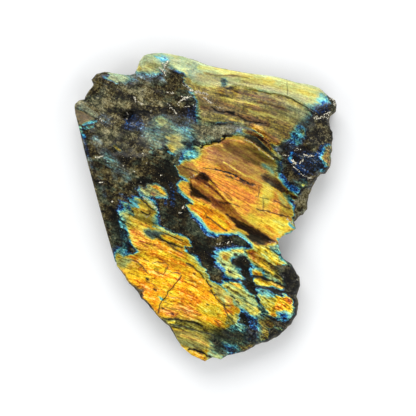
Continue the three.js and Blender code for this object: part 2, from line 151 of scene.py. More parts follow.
# Chips: depth, slope, outline
CHIPS = [
    (2.0, 1.4, [(-8.5, 14.3), (-5, 15.7), (-3.5, 16.8), (-2, 16.5), (4, 11.5), (14, -2), (11, -4), (3, 3),
                (-5.5, 5.2), (-7.3, 7)]),
    (1.0, 1.2, [(-0.5, 31.5), (-1, 34.6), (2, 37), (7, 36.8), (9, 34.8), (4, 33)]),
    (1.3, 1.8, [(54.5, 49.5), (58.5, 50.6), (66, 51), (66, 46), (61, 42), (56.5, 44), (53, 46.8)]),
    (1.2, 3.0, [(46, 42), (53, 44.5), (64, 40), (64, 31), (57, 29.5), (49, 31.5)]),
    (3.0, 3.0, [(42.6, -2), (44.5, 4.5), (47, 8.6), (53, 12.5), (56, 9), (52.5, -3), (46, -8)]),
    (2.6, 1.6, [(-38, -39.4), (-34, -39.9), (-30.3, -41.2), (-30.4, -43), (-31.6, -46.8), (-37, -43)]),
    (1.3, 1.4, [(-43, 46), (-40, 48.4), (-36.3, 48), (-35, 45.6), (-38, 43.4), (-41.8, 43.8)]),
]

# Rough ground: middle, half lengths, turn in degrees, height of its lumps
ROUGHS = [
    ((-38, 44), (28, 22), -8, 0.75),
    ((56, 36), (9, 10), 0, 0.7),
    ((48, 2), (6, 10), -25, 0.8),
    ((42, -36), (7, 10), 0, 0.6),
    ((34, -61), (17, 6), 28, 0.7),
]

# ------------------------------------------------------------------------------
# Fine lines of the face: strength, width in millimetres, and places as x, y, x, y. Most are cracks; a few dark
# lines along ledge steps and in the groove are painted shadow.

CRACKS_AND_LEDGE_SHADOWS = [
    (0.9, 0.6, [4.4, 18.4, 11, 17.2, 15.8, 14.8, 20.6, 12.1]),
    (0.75, 0.5, [9.8, 15.4, 17, 12.6, 23, 10.6]),
    (0.7, 0.45, [6.8, 2.5, 12.8, 1.6, 16.4, 0.1]),
    # Painted shade: the dark inside of the groove over the fan, at its west end
    (1, 0.9, [-2.8, 29.6, 0.5, 30.6, 3, 31.8, 6, 32, 8, 33.2, 9.5, 35]),
    (0.8, 0.5, [-12.2, -33.8, -13, -36, -15, -37.3, -17, -40, -19, -42, -19.4, -44, -21.5, -46, -22.8, -47.9,
        -23.2, -51.3, -24.2, -54]),
    # This line and the next two: painted shadow lines along the ledge steps above the foot
    (0.9, 0.6, [-22.5, -55.2, -18, -55.6, -15, -55.4, -12, -56.2, -9, -56.4, -5, -57.6, -2, -59.2]),
    (0.7, 0.5, [-20, -56.8, -16, -58.4, -10, -59.4, -5, -61, 0, -62.3, 4, -63.4]),
    (1, 0.8, [-8.5, -70.4, -5, -70.9, -2.5, -71.7, 0, -73.3, 2.6, -74.7]),
    (0.8, 0.5, [-10, -27.6, -6, -29.8, -3, -32.4, -1, -35]),
    (0.9, 0.6, [0.2, -36.4, 1.6, -38.4, 2.6, -39.2]),
    (0.8, 0.5, [2.4, -41, 3.6, -43.4, 5.5, -45.6, 7.6, -47.6, 9.4, -48.8, 12.2, -49]),
    (0.7, 0.45, [9, -49, 10.6, -51, 13, -53.4]),
    (0.7, 0.5, [-37.2, -26, -33.6, -27.4, -31, -29.8, -29.8, -31.6, -28.6, -32.6]),
    (0.6, 0.5, [-24, -26.8, -22, -27.7, -20, -27.6, -18.6, -29, -18.8, -30.4]),
    (0.6, 0.5, [-25.2, -30.4, -23.4, -31.1]),
    (0.6, 0.45, [-26.2, -27.6, -24.4, -26.9, -22.7, -27.6]),
    (0.6, 0.45, [-19.2, -29.9, -19.9, -31.8, -21, -33.6, -23.4, -32.8, -25.5, -31.3]),
    (0.6, 0.45, [-12.2, -32.9, -14.2, -32.4, -16.4, -32.6, -18.2, -31.6]),
    (0.5, 0.4, [-29.4, -36.8, -26, -38, -23.6, -40.4]),
    (0.7, 0.45, [8.3, -48, 10.4, -52.6, 12, -55, 13.9, -57.2]),
    (0.5, 0.4, [-20.6, -49, -17, -50.4, -12.4, -50.6, -9, -52.6]),
    (0.6, 0.45, [4, -56, 8.6, -60.4, 12.6, -63.6]),
    (0.6, 0.5, [-30.6, -26, -28.4, -26.7]),
    (0.5, 0.45, [-20.4, -46.2, -18.6, -47.8, -16.2, -48.4]),
    (0.5, 0.45, [-10.5, -50.4, -6.4, -52.6, -2.4, -53.6]),
    (0.5, 0.4, [-11, -35.4, -8, -36.4, -5, -37.4]),
    (0.5, 0.4, [-18.6, -44.2, -14.4, -45, -11, -45.6]),
    (0.9, 0.6, [-31.8, 3.8, -29.4, 1.6, -27, -0.8, -25.2, -1.6]),
    (0.9, 0.7, [-32, -1.8, -30, -3.4, -28.6, -3.9, -27.2, -2.9]),
    (0.8, 0.7, [-24.4, -14.6, -20.6, -16.7, -16, -18.2, -11.4, -20.1]),
    (0.7, 0.6, [-19.6, -17.4, -16, -20.4, -12, -22.4]),
    (0.7, 0.5, [-21, -12.6, -16, -15, -11.4, -16.8]),
    (0.8, 0.6, [30, -19.9, 33, -21.6, 36, -23.3, 38.2, -24.2]),
    (1, 0.9, [23.6, -33.8, 27, -34.6, 31, -36.1, 35, -37.5, 39, -39.2]),
    (0.9, 0.7, [25, -39.2, 30, -39.7, 33, -41.1]),
    (1, 0.9, [33, -41.2, 38, -41.8, 42, -43, 46.3, -43.3]),
    (1, 0.8, [46, 6.2, 47.4, 8.4, 50, 10, 53.4, 11.2]),
    (0.7, 0.5, [-1.4, 19.4, 3, 18.7, 8, 17.3, 13, 16.2, 17, 15.4]),
    (0.7, 0.5, [12, 15.2, 16, 13.8, 20, 12.2, 24.4, 10.9]),
    (0.6, 0.5, [-11.4, 20, -8, 18.8, -4.2, 17.2]),
    (0.6, 0.4, [26.2, 10, 26.3, 7.5, 25.7, 5]),
    (0.6, 0.4, [28, 4.6, 28.4, 2, 28.1, -1.4]),
    (0.6, 0.4, [24.6, 5.4, 28, 4.4, 31, 3.7]),
    (0.8, 0.45, [25, -1, 29, -1.9, 33, -2.8, 37, -4.1, 41, -5]),
    (0.7, 0.45, [33.5, 3.3, 36, 2.3, 38.5, 0.6, 41.4, -1]),
    (0.8, 0.6, [0.8, -4.8, 3, -6.4, 6, -8.9, 10, -11.6]),
    (0.6, 0.5, [9, 7.2, 12, 4.8, 13.2, 3]),
    (0.6, 0.45, [6.6, 2.6, 11, 1.4, 15.6, 0.8]),
    (0.9, 0.7, [14, 46.9, 9, 46.9, 5, 47.6, 2, 50]),
    (0.8, 0.6, [10, 46.4, 16, 45.2, 20, 42.6, 25, 41.7, 30, 41.2]),
    # This line and the next: painted shadow lines along the step under the shoulder's raised band
    (0.4, 0.45, [19, 58.9, 24, 57.9, 30, 56.6, 35, 55.6, 39, 54.9]),
    (0.8, 0.5, [39, 54.8, 43, 53.2, 46, 51.2, 49, 49.6, 52, 47.4, 54, 45.4]),
    (0.5, 0.4, [40.2, 62, 40.4, 58.5, 40.1, 55.4]),
    (0.5, 0.5, [0, 66.3, 6, 65.1, 12, 65.4, 18, 64.6, 22, 63.5]),
    (0.6, 0.5, [27, 51.6, 33, 50, 38, 48.8, 42, 47.4]),
    (0.9, 1, [-35.4, 47.4, -31, 47.6, -27, 46.8]),
    (0.4, 0.5, [-34.6, 66.6, -30, 66.6, -25.4, 66]),
    (0.7, 0.6, [-7, 36.8, -5.4, 34.4, -3.4, 31.6, -1.6, 30]),
    (0.5, 0.6, [-29.6, 34.2, -24, 33.4, -20.4, 32.2]),
    (0.5, 0.6, [-24.4, 38.8, -20.4, 38.3, -17, 37.4]),
]

# Dark specks among the flakes
for x, y in [
        (11.3, -32.1), (13.2, -27.4), (13.2, -35.6), (13.5, -44.5), (15.4, -46.6), (12.2, -43.8), (4.6, -43.2),
        (27, -41.2), (24.4, -39), (36.9, -33.4), (39, -40), (31.4, -53.8), (28, -50), (18.4, -37.4),
        (-21.6, -49.8), (-6.4, -33), (-29.4, -35.2), (-25.6, -40.4), (0.6, -48.2), (-17, -52.4)]:
    CRACKS_AND_LEDGE_SHADOWS.append((0.85, 0.6, [x, y, x + 0.9, y - 0.5]))

# Fine rays that spread from the fan's hinge
for turn in range(18, 38, 3):
    way_x, way_y = math.cos(math.radians(turn)), -math.sin(math.radians(turn))
    reaches = (9 + turn % 7, 24, 33 + turn % 12)
    CRACKS_AND_LEDGE_SHADOWS.append((0.32, 0.35, [v for r in reaches for v in (r * way_x - 13, r * way_y + 23)]))

# Pale lines and crumbs where the stone is bruised, in the same form
BRUISES = [
    (0.9, 0.5, [-11, 60.8, -9, 59.4, -6.4, 57.6, -5, 57]),
    (0.9, 1.3, [-4.4, 57.2, -2.4, 56.6, 0, 55.6]),
    (0.9, 0.8, [-0.8, 53.8, 1.2, 52.4, 3.6, 50.8]),
    (0.6, 0.7, [5, 49.8, 6.4, 49, 8.4, 47.6]),
    (0.8, 0.4, [19, 33.3, 21, 32.9, 24, 31, 27, 28.3, 30, 25.8, 33.6, 23.8]),
    (0.8, 0.4, [42.6, 20.8, 45, 18.4, 48, 15.9, 50.2, 14.6, 52, 14.2]),
    (0.9, 0.9, [42.4, 23, 44, 21.9, 44.8, 21.4]),
    (0.9, 0.5, [46.2, 21.2, 47, 22.6, 47.9, 23.3]),
    (0.9, 0.6, [48.2, 25.7, 50.2, 25.2, 53, 25.1]),
    (0.7, 0.5, [38.2, 25.7, 40.6, 25.5]),
    (0.6, 0.8, [35.4, 26.5, 36.8, 26.8]),
    (0.5, 0.4, [43.4, 28.2, 45.4, 28.8, 47.6, 28]),
    (0.7, 0.8, [59.6, 28.3, 61.4, 28.6, 62.4, 27.8]),
    (0.8, 1.3, [54.6, 44.8, 56, 43.6, 58.4, 44.8, 60.8, 44]),
    (0.8, 1.4, [58.6, 45.8, 61, 47, 61.6, 44.8]),
    (0.9, 1.3, [61, 54.4, 63, 53, 64.2, 51.4]),
    (0.6, 0.9, [61.2, 41.4, 62.2, 39.8, 62.8, 38.4]),
    (0.9, 0.5, [50.6, 48.6, 52.4, 47.2, 53.6, 45.8]),
    (0.8, 0.8, [39.8, -5.8, 41.6, -7, 43.4, -8]),
    (0.9, 0.6, [-22.9, 69, -21.6, 67.4, -20.4, 65.8, -19.6, 65]),
    (0.9, 0.6, [-21.4, 67.8, -20.2, 69.4, -19.6, 71.6, -18.4, 72.2]),
    (0.7, 1.4, [-22, 71, -20.8, 70.4]),
    (0.8, 0.7, [-13.6, 51.8, -11.8, 53.2, -10.2, 53.6, -9.2, 54.9]),
    (0.8, 0.5, [-11.9, 55, -10, 53.2, -8.2, 54.8]),
    (0.7, 0.6, [-19, 51.2, -17.6, 50.2]),
    (0.8, 0.6, [-17.6, 49.2, -16, 48.2, -14.8, 46.6]),
    (0.7, 0.7, [-14.2, 50.6, -13, 50.2]),
    (0.6, 0.6, [-10.8, 49.4, -8.4, 49.6]),
    (0.6, 0.6, [-6.4, 50.6, -5.2, 50]),
    (0.6, 0.6, [-19.4, 56.9, -16.2, 56.2]),
    (0.8, 0.9, [-36, 55, -35.2, 53.2, -33.8, 51.8, -31, 51]),
    (0.9, 0.5, [-54.6, 24.6, -53.4, 24.8, -50.6, 25.2]),
    (0.9, 0.5, [-52.6, 12.2, -50.4, 12.3]),
    (0.7, 0.5, [-39.8, 48, -38.8, 45.8, -39.4, 43.8]),
    (0.5, 0.8, [-52.6, 43.6, -51, 41, -48.8, 40.4]),
    (0.8, 0.5, [-30.6, -3.9, -29.2, -5, -27.6, -3.6]),
    (0.7, 0.5, [-25.4, 0, -24.4, -1, -23.8, -1.8]),
    (0.6, 0.6, [-31, 4.8, -28, 3, -25.8, 0.6]),
    (0.8, 0.7, [-13.2, -2.6, -12, -3.1]),
    (0.7, 0.5, [-11.6, -0.8, -10.4, 0.1, -9.4, 0.3]),
    (0.6, 0.5, [-19.6, 0.8, -18.4, 1.2]),
    (0.5, 0.5, [-19.8, 4.4, -19, 3.8]),
    (0.5, 0.9, [4.6, -18.2, 7, -18.3, 9.6, -17.3, 11, -18]),
    (0.6, 0.5, [10.6, -17.3, 13, -17]),
    (0.5, 0.4, [5, -15.4, 6.4, -16]),
    (0.6, 0.4, [-8.6, 14.5, -6.4, 15, -5, 15.6, -4.2, 16.4]),
    (0.5, 0.5, [29.6, -17, 32, -17.7, 34, -17.6]),
    (0.6, 0.5, [36.8, -33.2, 38.2, -34.2]),
    (0.5, 0.5, [43.8, -36.3, 45.6, -36]),
    (0.5, 0.9, [46.2, 4.6, 48.4, 4, 50, 3.4]),
    (0.5, 0.7, [44, 2.6, 46, 2.8]),
]

# ------------------------------------------------------------------------------
# Repeatable randomness


def lattice(column, row, seed):
    """Hashed numbers from -1 to 1 on whole-number places."""
    column = (np.asarray(column).astype(np.int64) & 0xFFFFFFFF).astype(np.uint32)
    row = (np.asarray(row).astype(np.int64) & 0xFFFFFFFF).astype(np.uint32)
    start = np.uint32((seed * 974634777) & 0xFFFFFFFF)
    mixed = column * np.uint32(374761393) + row * np.uint32(668265263) + start
    stirred = (mixed ^ (mixed >> np.uint32(13))) * np.uint32(1274126177)
    return (stirred ^ (stirred >> np.uint32(16))) / 4294967295 * 2 - 1


def ease(t):
    t = np.clip(t, 0, 1)
    return t * t * (3 - 2 * t)


def noise(x, y, seed):
    """Smooth noise from -1 to 1."""
    column, row = np.floor(x), np.floor(y)
    u, v = ease(x - column), ease(y - row)
    low = lattice(column, row, seed) * (1 - u) + lattice(column + 1, row, seed) * u
    high = lattice(column, row + 1, seed) * (1 - u) + lattice(column + 1, row + 1, seed) * u
    return low * (1 - v) + high * v


def layered_noise(x, y, seed, layers=3):
    total = sum(0.5**k * noise(x * 2**k, y * 2**k, seed + 11 * k) for k in range(layers))
    return total / sum(0.5**k for k in range(layers))


def facets(u, v, cell, seed, steep=0.8):
    """Broken ground, about -1 to 1: the highest of a set of tilted, slightly dished planes."""
    column, row = np.floor(u / cell), np.floor(v / cell)
    best = np.full(np.shape(u), -9.0)
    for dc in (-1, 0, 1):
        for dr in (-1, 0, 1):
            c, r = column + dc, row + dr
            du = u / cell - (c + 0.5 + 0.4 * lattice(c, r, seed))
            dv = v / cell - (r + 0.5 + 0.4 * lattice(c, r, seed + 1))
            tilt = steep * (lattice(c, r, seed + 2) * du + lattice(c, r, seed + 3) * dv)
            plane = 0.6 * lattice(c, r, seed + 4) + tilt - 0.9 * (du * du + dv * dv)
            best = np.maximum(best, plane)
    return best


# ------------------------------------------------------------------------------
# Plane geometry


def place_by_line(line, x, y):
    """Distance to an open line, whether the place is on its left, how far its foot is from the nearer end."""
    distance = np.full(np.shape(x), np.inf)
    left = np.zeros(np.shape(x), bool)
    run = np.zeros(np.shape(x))
    done = 0.0
    for (ax, ay), (bx, by) in zip(line, line[1:]):
        dx, dy = bx - ax, by - ay
        length = math.hypot(dx, dy)
        t = np.clip(((x - ax) * dx + (y - ay) * dy) / length**2, 0, 1)
        off_x, off_y = x - ax - dx * t, y - ay - dy * t
        off = np.hypot(off_x, off_y)
        nearer = off < distance
        distance = np.where(nearer, off, distance)
        left = np.where(nearer, dx * off_y - dy * off_x > 0, left)
        run = np.where(nearer, done + t * length, run)
        done += length
    return distance, left, np.minimum(run, done - run)


def depth_in_loop(loop, x, y):
    """How deep a place lies inside a closed outline, negative outside, and the outline's nearest corner."""
    inside = np.zeros(np.shape(x), bool)
    distance = np.full(np.shape(x), np.inf)
    nearest = np.zeros(np.shape(x), int)
    count = len(loop)
    for i in range(count):
        (ax, ay), (bx, by) = loop[i], loop[(i + 1) % count]
        if ay != by:
            crosses = (ay > y) != (by > y)
            inside ^= crosses & (x < ax + (y - ay) / (by - ay) * (bx - ax))
        dx, dy = bx - ax, by - ay
        t = np.clip(((x - ax) * dx + (y - ay) * dy) / (dx * dx + dy * dy), 0, 1)
        off = np.hypot(x - ax - dx * t, y - ay - dy * t)
        nearer = off < distance
        distance = np.where(nearer, off, distance)
        nearest = np.where(nearer, np.where(t < 0.5, i, (i + 1) % count), nearest)
    return np.where(inside, distance, -distance), nearest


def oval_radius(at, half, turn, x, y):
    """0 in the middle of a turned oval, 1 on its edge."""
    c, s = math.cos(math.radians(turn)), math.sin(math.radians(turn))
    dx, dy = x - at[0], y - at[1]
    return np.hypot((dx * c + dy * s) / half[0], (dy * c - dx * s) / half[1])


def pairs(numbers):
    """The places in a flat run of numbers: x, y, x, y."""
    return np.reshape(numbers, (-1, 2)).tolist()


def walk_line(line, step):
    """The line in equal short steps: places and directions."""
    places, ways = [], []
    for (ax, ay), (bx, by) in zip(line, line[1:]):
        length = math.hypot(bx - ax, by - ay)
        count = max(1, math.ceil(length / step))
        for k in range(count):
            places.append((ax + (bx - ax) * k / count, ay + (by - ay) * k / count))
            ways.append(((bx - ax) / length, (by - ay) / length))
    return np.array(places), np.array(ways)


# ------------------------------------------------------------------------------
# The outline as a ring of stations, anticlockwise


class Ring:
    """The outline's stations: places, inward directions, kind of edge, and room to move inwards."""

    def __init__(self, step):
        names = list(STRETCHES)
        places, kinds = [], []
        for i, name in enumerate(names):
            lean, width, drop, lumps, points = STRETCHES[name]
            following = STRETCHES[names[(i + 1) % len(names)]][4][0]
            stops, _ways = walk_line([*points, following], step)
            places.extend(stops)
            kinds.extend([(lean, width, drop, lumps)] * len(stops))
        self.at = np.array(places)[::-1]
        kinds = np.array(kinds)[::-1]
        self.step = step
        self.count = len(self.at)
        self.sawn = kinds[:, 3] == 0
        reach = max(1, round(3.5 / step))
        along = np.roll(self.at, -reach, 0) - np.roll(self.at, reach, 0)
        along /= np.linalg.norm(along, axis=1)[:, None]
        self.inward = np.stack([-along[:, 1], along[:, 0]], 1)
        before, after = np.roll(self.inward, reach, 0), np.roll(self.inward, -reach, 0)
        turn = np.arcsin(np.clip(before[:, 0] * after[:, 1] - before[:, 1] * after[:, 0], -1, 1))
        self.room = np.clip(1 - turn / 1.3, 0.2, 1)
        blend = round(BLEND_REACH / step)
        mean = sum(np.roll(kinds, k, 0) for k in range(-blend, blend + 1)) / (2 * blend + 1)
        mean[self.sawn] = kinds[self.sawn]
        self.lean, self.width, self.drop, self.lumps = mean.T.copy()
        self.lean *= self.room
        steps = np.linalg.norm(np.roll(self.at, -1, 0) - self.at, axis=1)
        self.run = np.concatenate([[0], np.cumsum(steps)[:-1]])

    def set_back(self, distance):
        return self.at + self.inward * np.asarray(distance)[:, None]


# ------------------------------------------------------------------------------
# The height of the face


def ledge_height(rise, fall, reach, line, x, y):
    distance, left, to_end = place_by_line(line, x, y)
    lift = np.where(left, rise, -fall) * np.exp(-np.maximum(distance - EDGE_HALF, 0) / reach)
    within = np.minimum(distance / EDGE_HALF, 1)
    return ease(to_end / END_FADE) * ((rise - fall) / 2 * (1 - within) + lift * within)


def roughness_at(x, y):
    most = np.zeros(np.shape(x))
    for at, half, turn, height in ROUGHS:
        share = ease(2.2 * (1 - oval_radius(at, half, turn, x, y)))
        most = np.maximum(most, share * height)
    return most


def face_height(x, y, ring):
    """The height of the solid's face at each place, with the lumps of its rough ground."""
    height = FACE_HEIGHT + WAVE_HEIGHT * noise(x / WAVE_LENGTH, y / WAVE_LENGTH, 1)
    for at, half, turn, rise in SWELLS:
        height += rise * ease(1.15 * (1 - oval_radius(at, half, turn, x, y)))
    for rise, fall, reach, line in LEDGES:
        height += ledge_height(rise, fall, reach, line, x, y)
    for half, depth, line in GROOVES:
        distance, _left, to_end = place_by_line(line, x, y)
        height -= ease(to_end / END_FADE) * depth * ease(1 - distance / half)
    for depth, slope, loop in CHIPS:
        height -= depth * ease(depth_in_loop(loop, x, y)[0] / slope)
    height += roughness_at(x, y) * noise(x / LUMP_LENGTH, y / LUMP_LENGTH, 2)
    depth, nearest = depth_in_loop(ring.at.tolist(), x, y)
    fall = np.clip(1 - depth / ring.width[nearest], 0, 1)
    height -= ring.drop[nearest] * fall * fall
    return height, depth, nearest


# ------------------------------------------------------------------------------
# Lamellae: the thin layers inside the stone, which steer every streak. The guides are places on the face with the
# direction of the layers there, in degrees. Far from every guide the layers run in the general direction.

GENERAL_DIRECTION = math.radians(-27)
LAMELLA_GUIDES = [
    (5, 27, -15), (15, 31, -18), (25, 28, -38), (10, 20, -22), (20, 15, -25), (0, 18, -28), (-8, 20, -38),
    (-5, 10, -40), (3, 5, -38), (10, -3, -38), (15, 2, -30), (20, 5, -20), (28, 0, -20), (25, 10, -26),
    (30, -8, -30), (22, -10, -33), (35, -2, -20), (0, -6, -36), (8, -10, -36), (33, -15, -28), (0, 62, -10),
    (10, 57, -10), (20, 52, -12), (30, 48, -14), (40, 44, -15), (20, 43, -14), (30, 38, -30), (10, 45, -24),
    (45, 50, -28), (-10, 70, -12), (10, 66, -8), (30, 62, -8), (45, 59, -15), (-50, 60, -25), (-40, 45, -28),
    (-25, 38, -20), (-15, 32, -18), (-45, 30, -32), (-50, 10, -30), (-25, 8, -28), (-30, 0, -38), (-35, -8, -24),
    (-30, -18, -28), (-20, -14, -28), (-12, -18, -27), (-20, -25, -22), (-30, -30, -20), (-10, -30, -28),
    (-15, -40, -15), (-25, -38, -12), (0, -42, -33), (-5, -48, -18), (-15, -50, -10), (5, -52, -35), (-8, -58, -15),
    (-8, -65, -17), (5, -62, -28), (12, -66, -30), (12, -25, -30), (25, -24, -30), (30, -28, -32), (35, -34, -28),
    (30, -37, -18), (16, -40, -40), (22, -47, -43), (12, -45, -40), (33, -47, -26), (38, -48, -18), (28, -58, -42),
    (20, -64, -32), (33, -22, -30), (58, 30, -25), (60, 50, -30), (40, -62, -35), (-55, 40, -25), (45, -10, -28),
]


def bump_values(x, y, centres, width):
    """Smooth bumps around the centres, and their slopes, with a plane for the general run."""
    dx = x[:, None] - centres[:, 0]
    dy = y[:, None] - centres[:, 1]
    bump = np.exp(-(dx * dx + dy * dy) / (2 * width**2))
    one, nil = np.ones((len(x), 1)), np.zeros((len(x), 1))
    value = np.hstack([x[:, None], y[:, None], bump])
    slope_x = np.hstack([one, nil, -dx / width**2 * bump])
    slope_y = np.hstack([nil, one, -dy / width**2 * bump])
    return value, slope_x, slope_y


def lamella_coordinates(x, y):
    """Distance along and across the lamellae, in millimetres, so that both follow the guides."""
    width = 26.0
    centres = np.array([(u, v) for u in range(-75, 76, 25) for v in range(-90, 91, 25)], float)
    guides = np.array(LAMELLA_GUIDES, float)
    turn = np.radians(guides[:, 2])
    _value, slope_x, slope_y = bump_values(guides[:, 0], guides[:, 1], centres, width)
    with_layer = np.cos(turn)[:, None] * slope_x + np.sin(turn)[:, None] * slope_y
    over_layer = -np.sin(turn)[:, None] * slope_x + np.cos(turn)[:, None] * slope_y
    stiff = 0.06 * np.eye(with_layer.shape[1])
    rows = np.vstack([with_layer, 0.5 * over_layer, stiff])
    nil, one, pad = np.zeros(len(guides)), np.ones(len(guides)), np.zeros(len(stiff))
    general = np.array([math.cos(GENERAL_DIRECTION), math.sin(GENERAL_DIRECTION)])
    pad[:2] = stiff[0, 0] * general
    along = np.linalg.lstsq(rows, np.concatenate([one, 0.5 * nil, pad]), rcond=None)[0]
    pad[:2] = stiff[0, 0] * np.array([-general[1], general[0]])
    across = np.linalg.lstsq(rows, np.concatenate([nil, 0.5 * one, pad]), rcond=None)[0]
    value, slope_x, slope_y = bump_values(x, y, centres, width)
    length = np.hypot(slope_x @ along, slope_y @ along)
    way = np.stack([slope_x @ along, slope_y @ along], 1) / length[:, None]
    return value @ along, value @ across, way


# ------------------------------------------------------------------------------
# The painter: fields over the face's points. phase is the order of the flash's colour, from 0, navy, to 1,
# brown; flash is its strength; shade darkens what is there, and above 1 brightens it, as for the painted
# highlights on some edges; milk is a pale veil, partly milky stone and partly a painted sheen where the
# sloping shoulder would reflect the light; haze is how pale the dark stone is; quiet evens the streaks out;
# crack and bruise are dark and pale lines, the dark ones cracks and a few painted shadow lines along
# ledge steps and in the groove; rough is 0 where the stone is polished and 1 where it is broken.

FIRST_FIELDS = ("phase", "flash", "shade", "milk", "haze")


def named(firsts, more):
    """A stroke's values by field. The first of them are given without a name, in the order of FIRST_FIELDS."""
    return dict(zip(FIRST_FIELDS, firsts), **more)


class Painter:
    def __init__(self, x, y, along, across, way):
        self.x, self.y = x, y
        start = {"phase": 0.1, "flash": 0, "milk": 0, "haze": 0.3, "shade": 1, "crack": 0, "bruise": 0, "rough": 0,
                 "quiet": 0}
        self.fields = {name: np.full(len(x), float(value)) for name, value in start.items()}
        streak = 0.9 * noise(across / 0.9, along / 9, 21) + 0.6 * noise(across / 0.45, along / 5, 22)
        streak *= 0.35 + 1.3 * ease(0.5 + noise(x / 12, y / 12, 26))
        self.shift_x = way[:, 0] * streak + 0.7 * layered_noise(x / 2.2, y / 2.2, 23)
        self.shift_y = way[:, 1] * streak + 0.7 * layered_noise(x / 2.2, y / 2.2, 24)
        self.softness = 0.35 + 1.7 * ease(0.5 + 0.9 * noise(x / 9, y / 9, 25))
        self.unevenness = ease(0.5 + 0.9 * noise(x / 6, y / 6, 28))
        self.gleam = ease(0.5 + 1.1 * noise(x / 7, y / 7, 29))

    def near(self, points, margin, ragged=1.0):
        """The face's points around an outline, and where they stand once its edge is roughened."""
        box = np.array(points)
        low, high = box.min(0) - margin, box.max(0) + margin
        inside = (self.x > low[0]) & (self.x < high[0]) & (self.y > low[1]) & (self.y < high[1])
        where = np.nonzero(inside)[0]
        return where, self.x[where] + ragged * self.shift_x[where], self.y[where] + ragged * self.shift_y[where]

    def put(self, where, share, values):
        for name, value in values.items():
            field = self.fields[name]
            field[where] += (value - field[where]) * share

    def area(self, points, soft, *firsts, glow=0, fade=0, rim=1, ragged=1, **more):
        """A patch inside an outline. glow is how far its flash reaches beyond, where it turns blue; fade is how
        deep inside it is still duller; rim is how strong its blue edge is."""
        points, values = pairs(points), named(firsts, more)
        where, x, y = self.near(points, 2 * soft + 2 * glow + 3, ragged)
        depth = depth_in_loop(points, x, y)[0]
        soft = 1.25 * soft * self.softness[where]
        if glow:
            beyond = depth + 2 * glow * self.unevenness[where]
            self.put(where, ease(beyond / (soft + glow) + 0.5), {"flash": 0.8 * values["flash"], "phase": 0.13})
        if "flash" in values:
            lead = 0.5 + rim * (0.06 + 0.3 * self.gleam[where])
            self.put(where, ease(depth / soft + lead), {"flash": values.pop("flash")})
        if fade:
            reach = fade * (0.4 + 1.2 * self.unevenness[where])
            values["shade"] = values["shade"] * (0.5 + 0.5 * ease(depth / reach))
        self.put(where, ease(depth / soft + 0.5), values)

    def line(self, points, width, *firsts, **more):
        """A stroke along a line, soft across its width."""
        points = pairs(points)
        where, x, y = self.near(points, width + 3)
        x, y = 0.6 * self.x[where] + 0.4 * x, 0.6 * self.y[where] + 0.4 * y
        distance = place_by_line(points, x, y)[0]
        share = ease(1.4 * (1 - distance / width)) * (0.55 + 0.45 * self.unevenness[where])
        self.put(where, share, named(firsts, more))

    def spot(self, at, half, turn=0, *firsts, **more):
        """A soft oval."""
        where, x, y = self.near([at], max(half) * 1.5 + 2)
        self.put(where, ease(1.3 * (1 - oval_radius(at, half, turn, x, y)) + 0.5), named(firsts, more))

    def fine(self, field, strength, width, points, halo=0.0):
        """A sharp thin line of uneven width, and a faint halo about it."""
        where, _x, _y = self.near(points, 1.5 * width + 1 + 3 * halo)
        x, y = self.x[where], self.y[where]
        distance = place_by_line(points, x, y)[0]
        width = width * np.clip(0.9 + 0.9 * noise(x / 2.2, y / 2.2, 31), 0.35, 1.5)
        share = np.clip(1.7 * (1 - distance / width), 0, 1)
        share = strength * np.maximum(share, halo * ease(1 - distance / (3 * halo + 0.1)))
        self.fields[field][where] = np.maximum(self.fields[field][where], share)


# ------------------------------------------------------------------------------
# The colours of the face, region by region. A stroke is its places, its softness, width or half lengths and
# turn, and then its values.


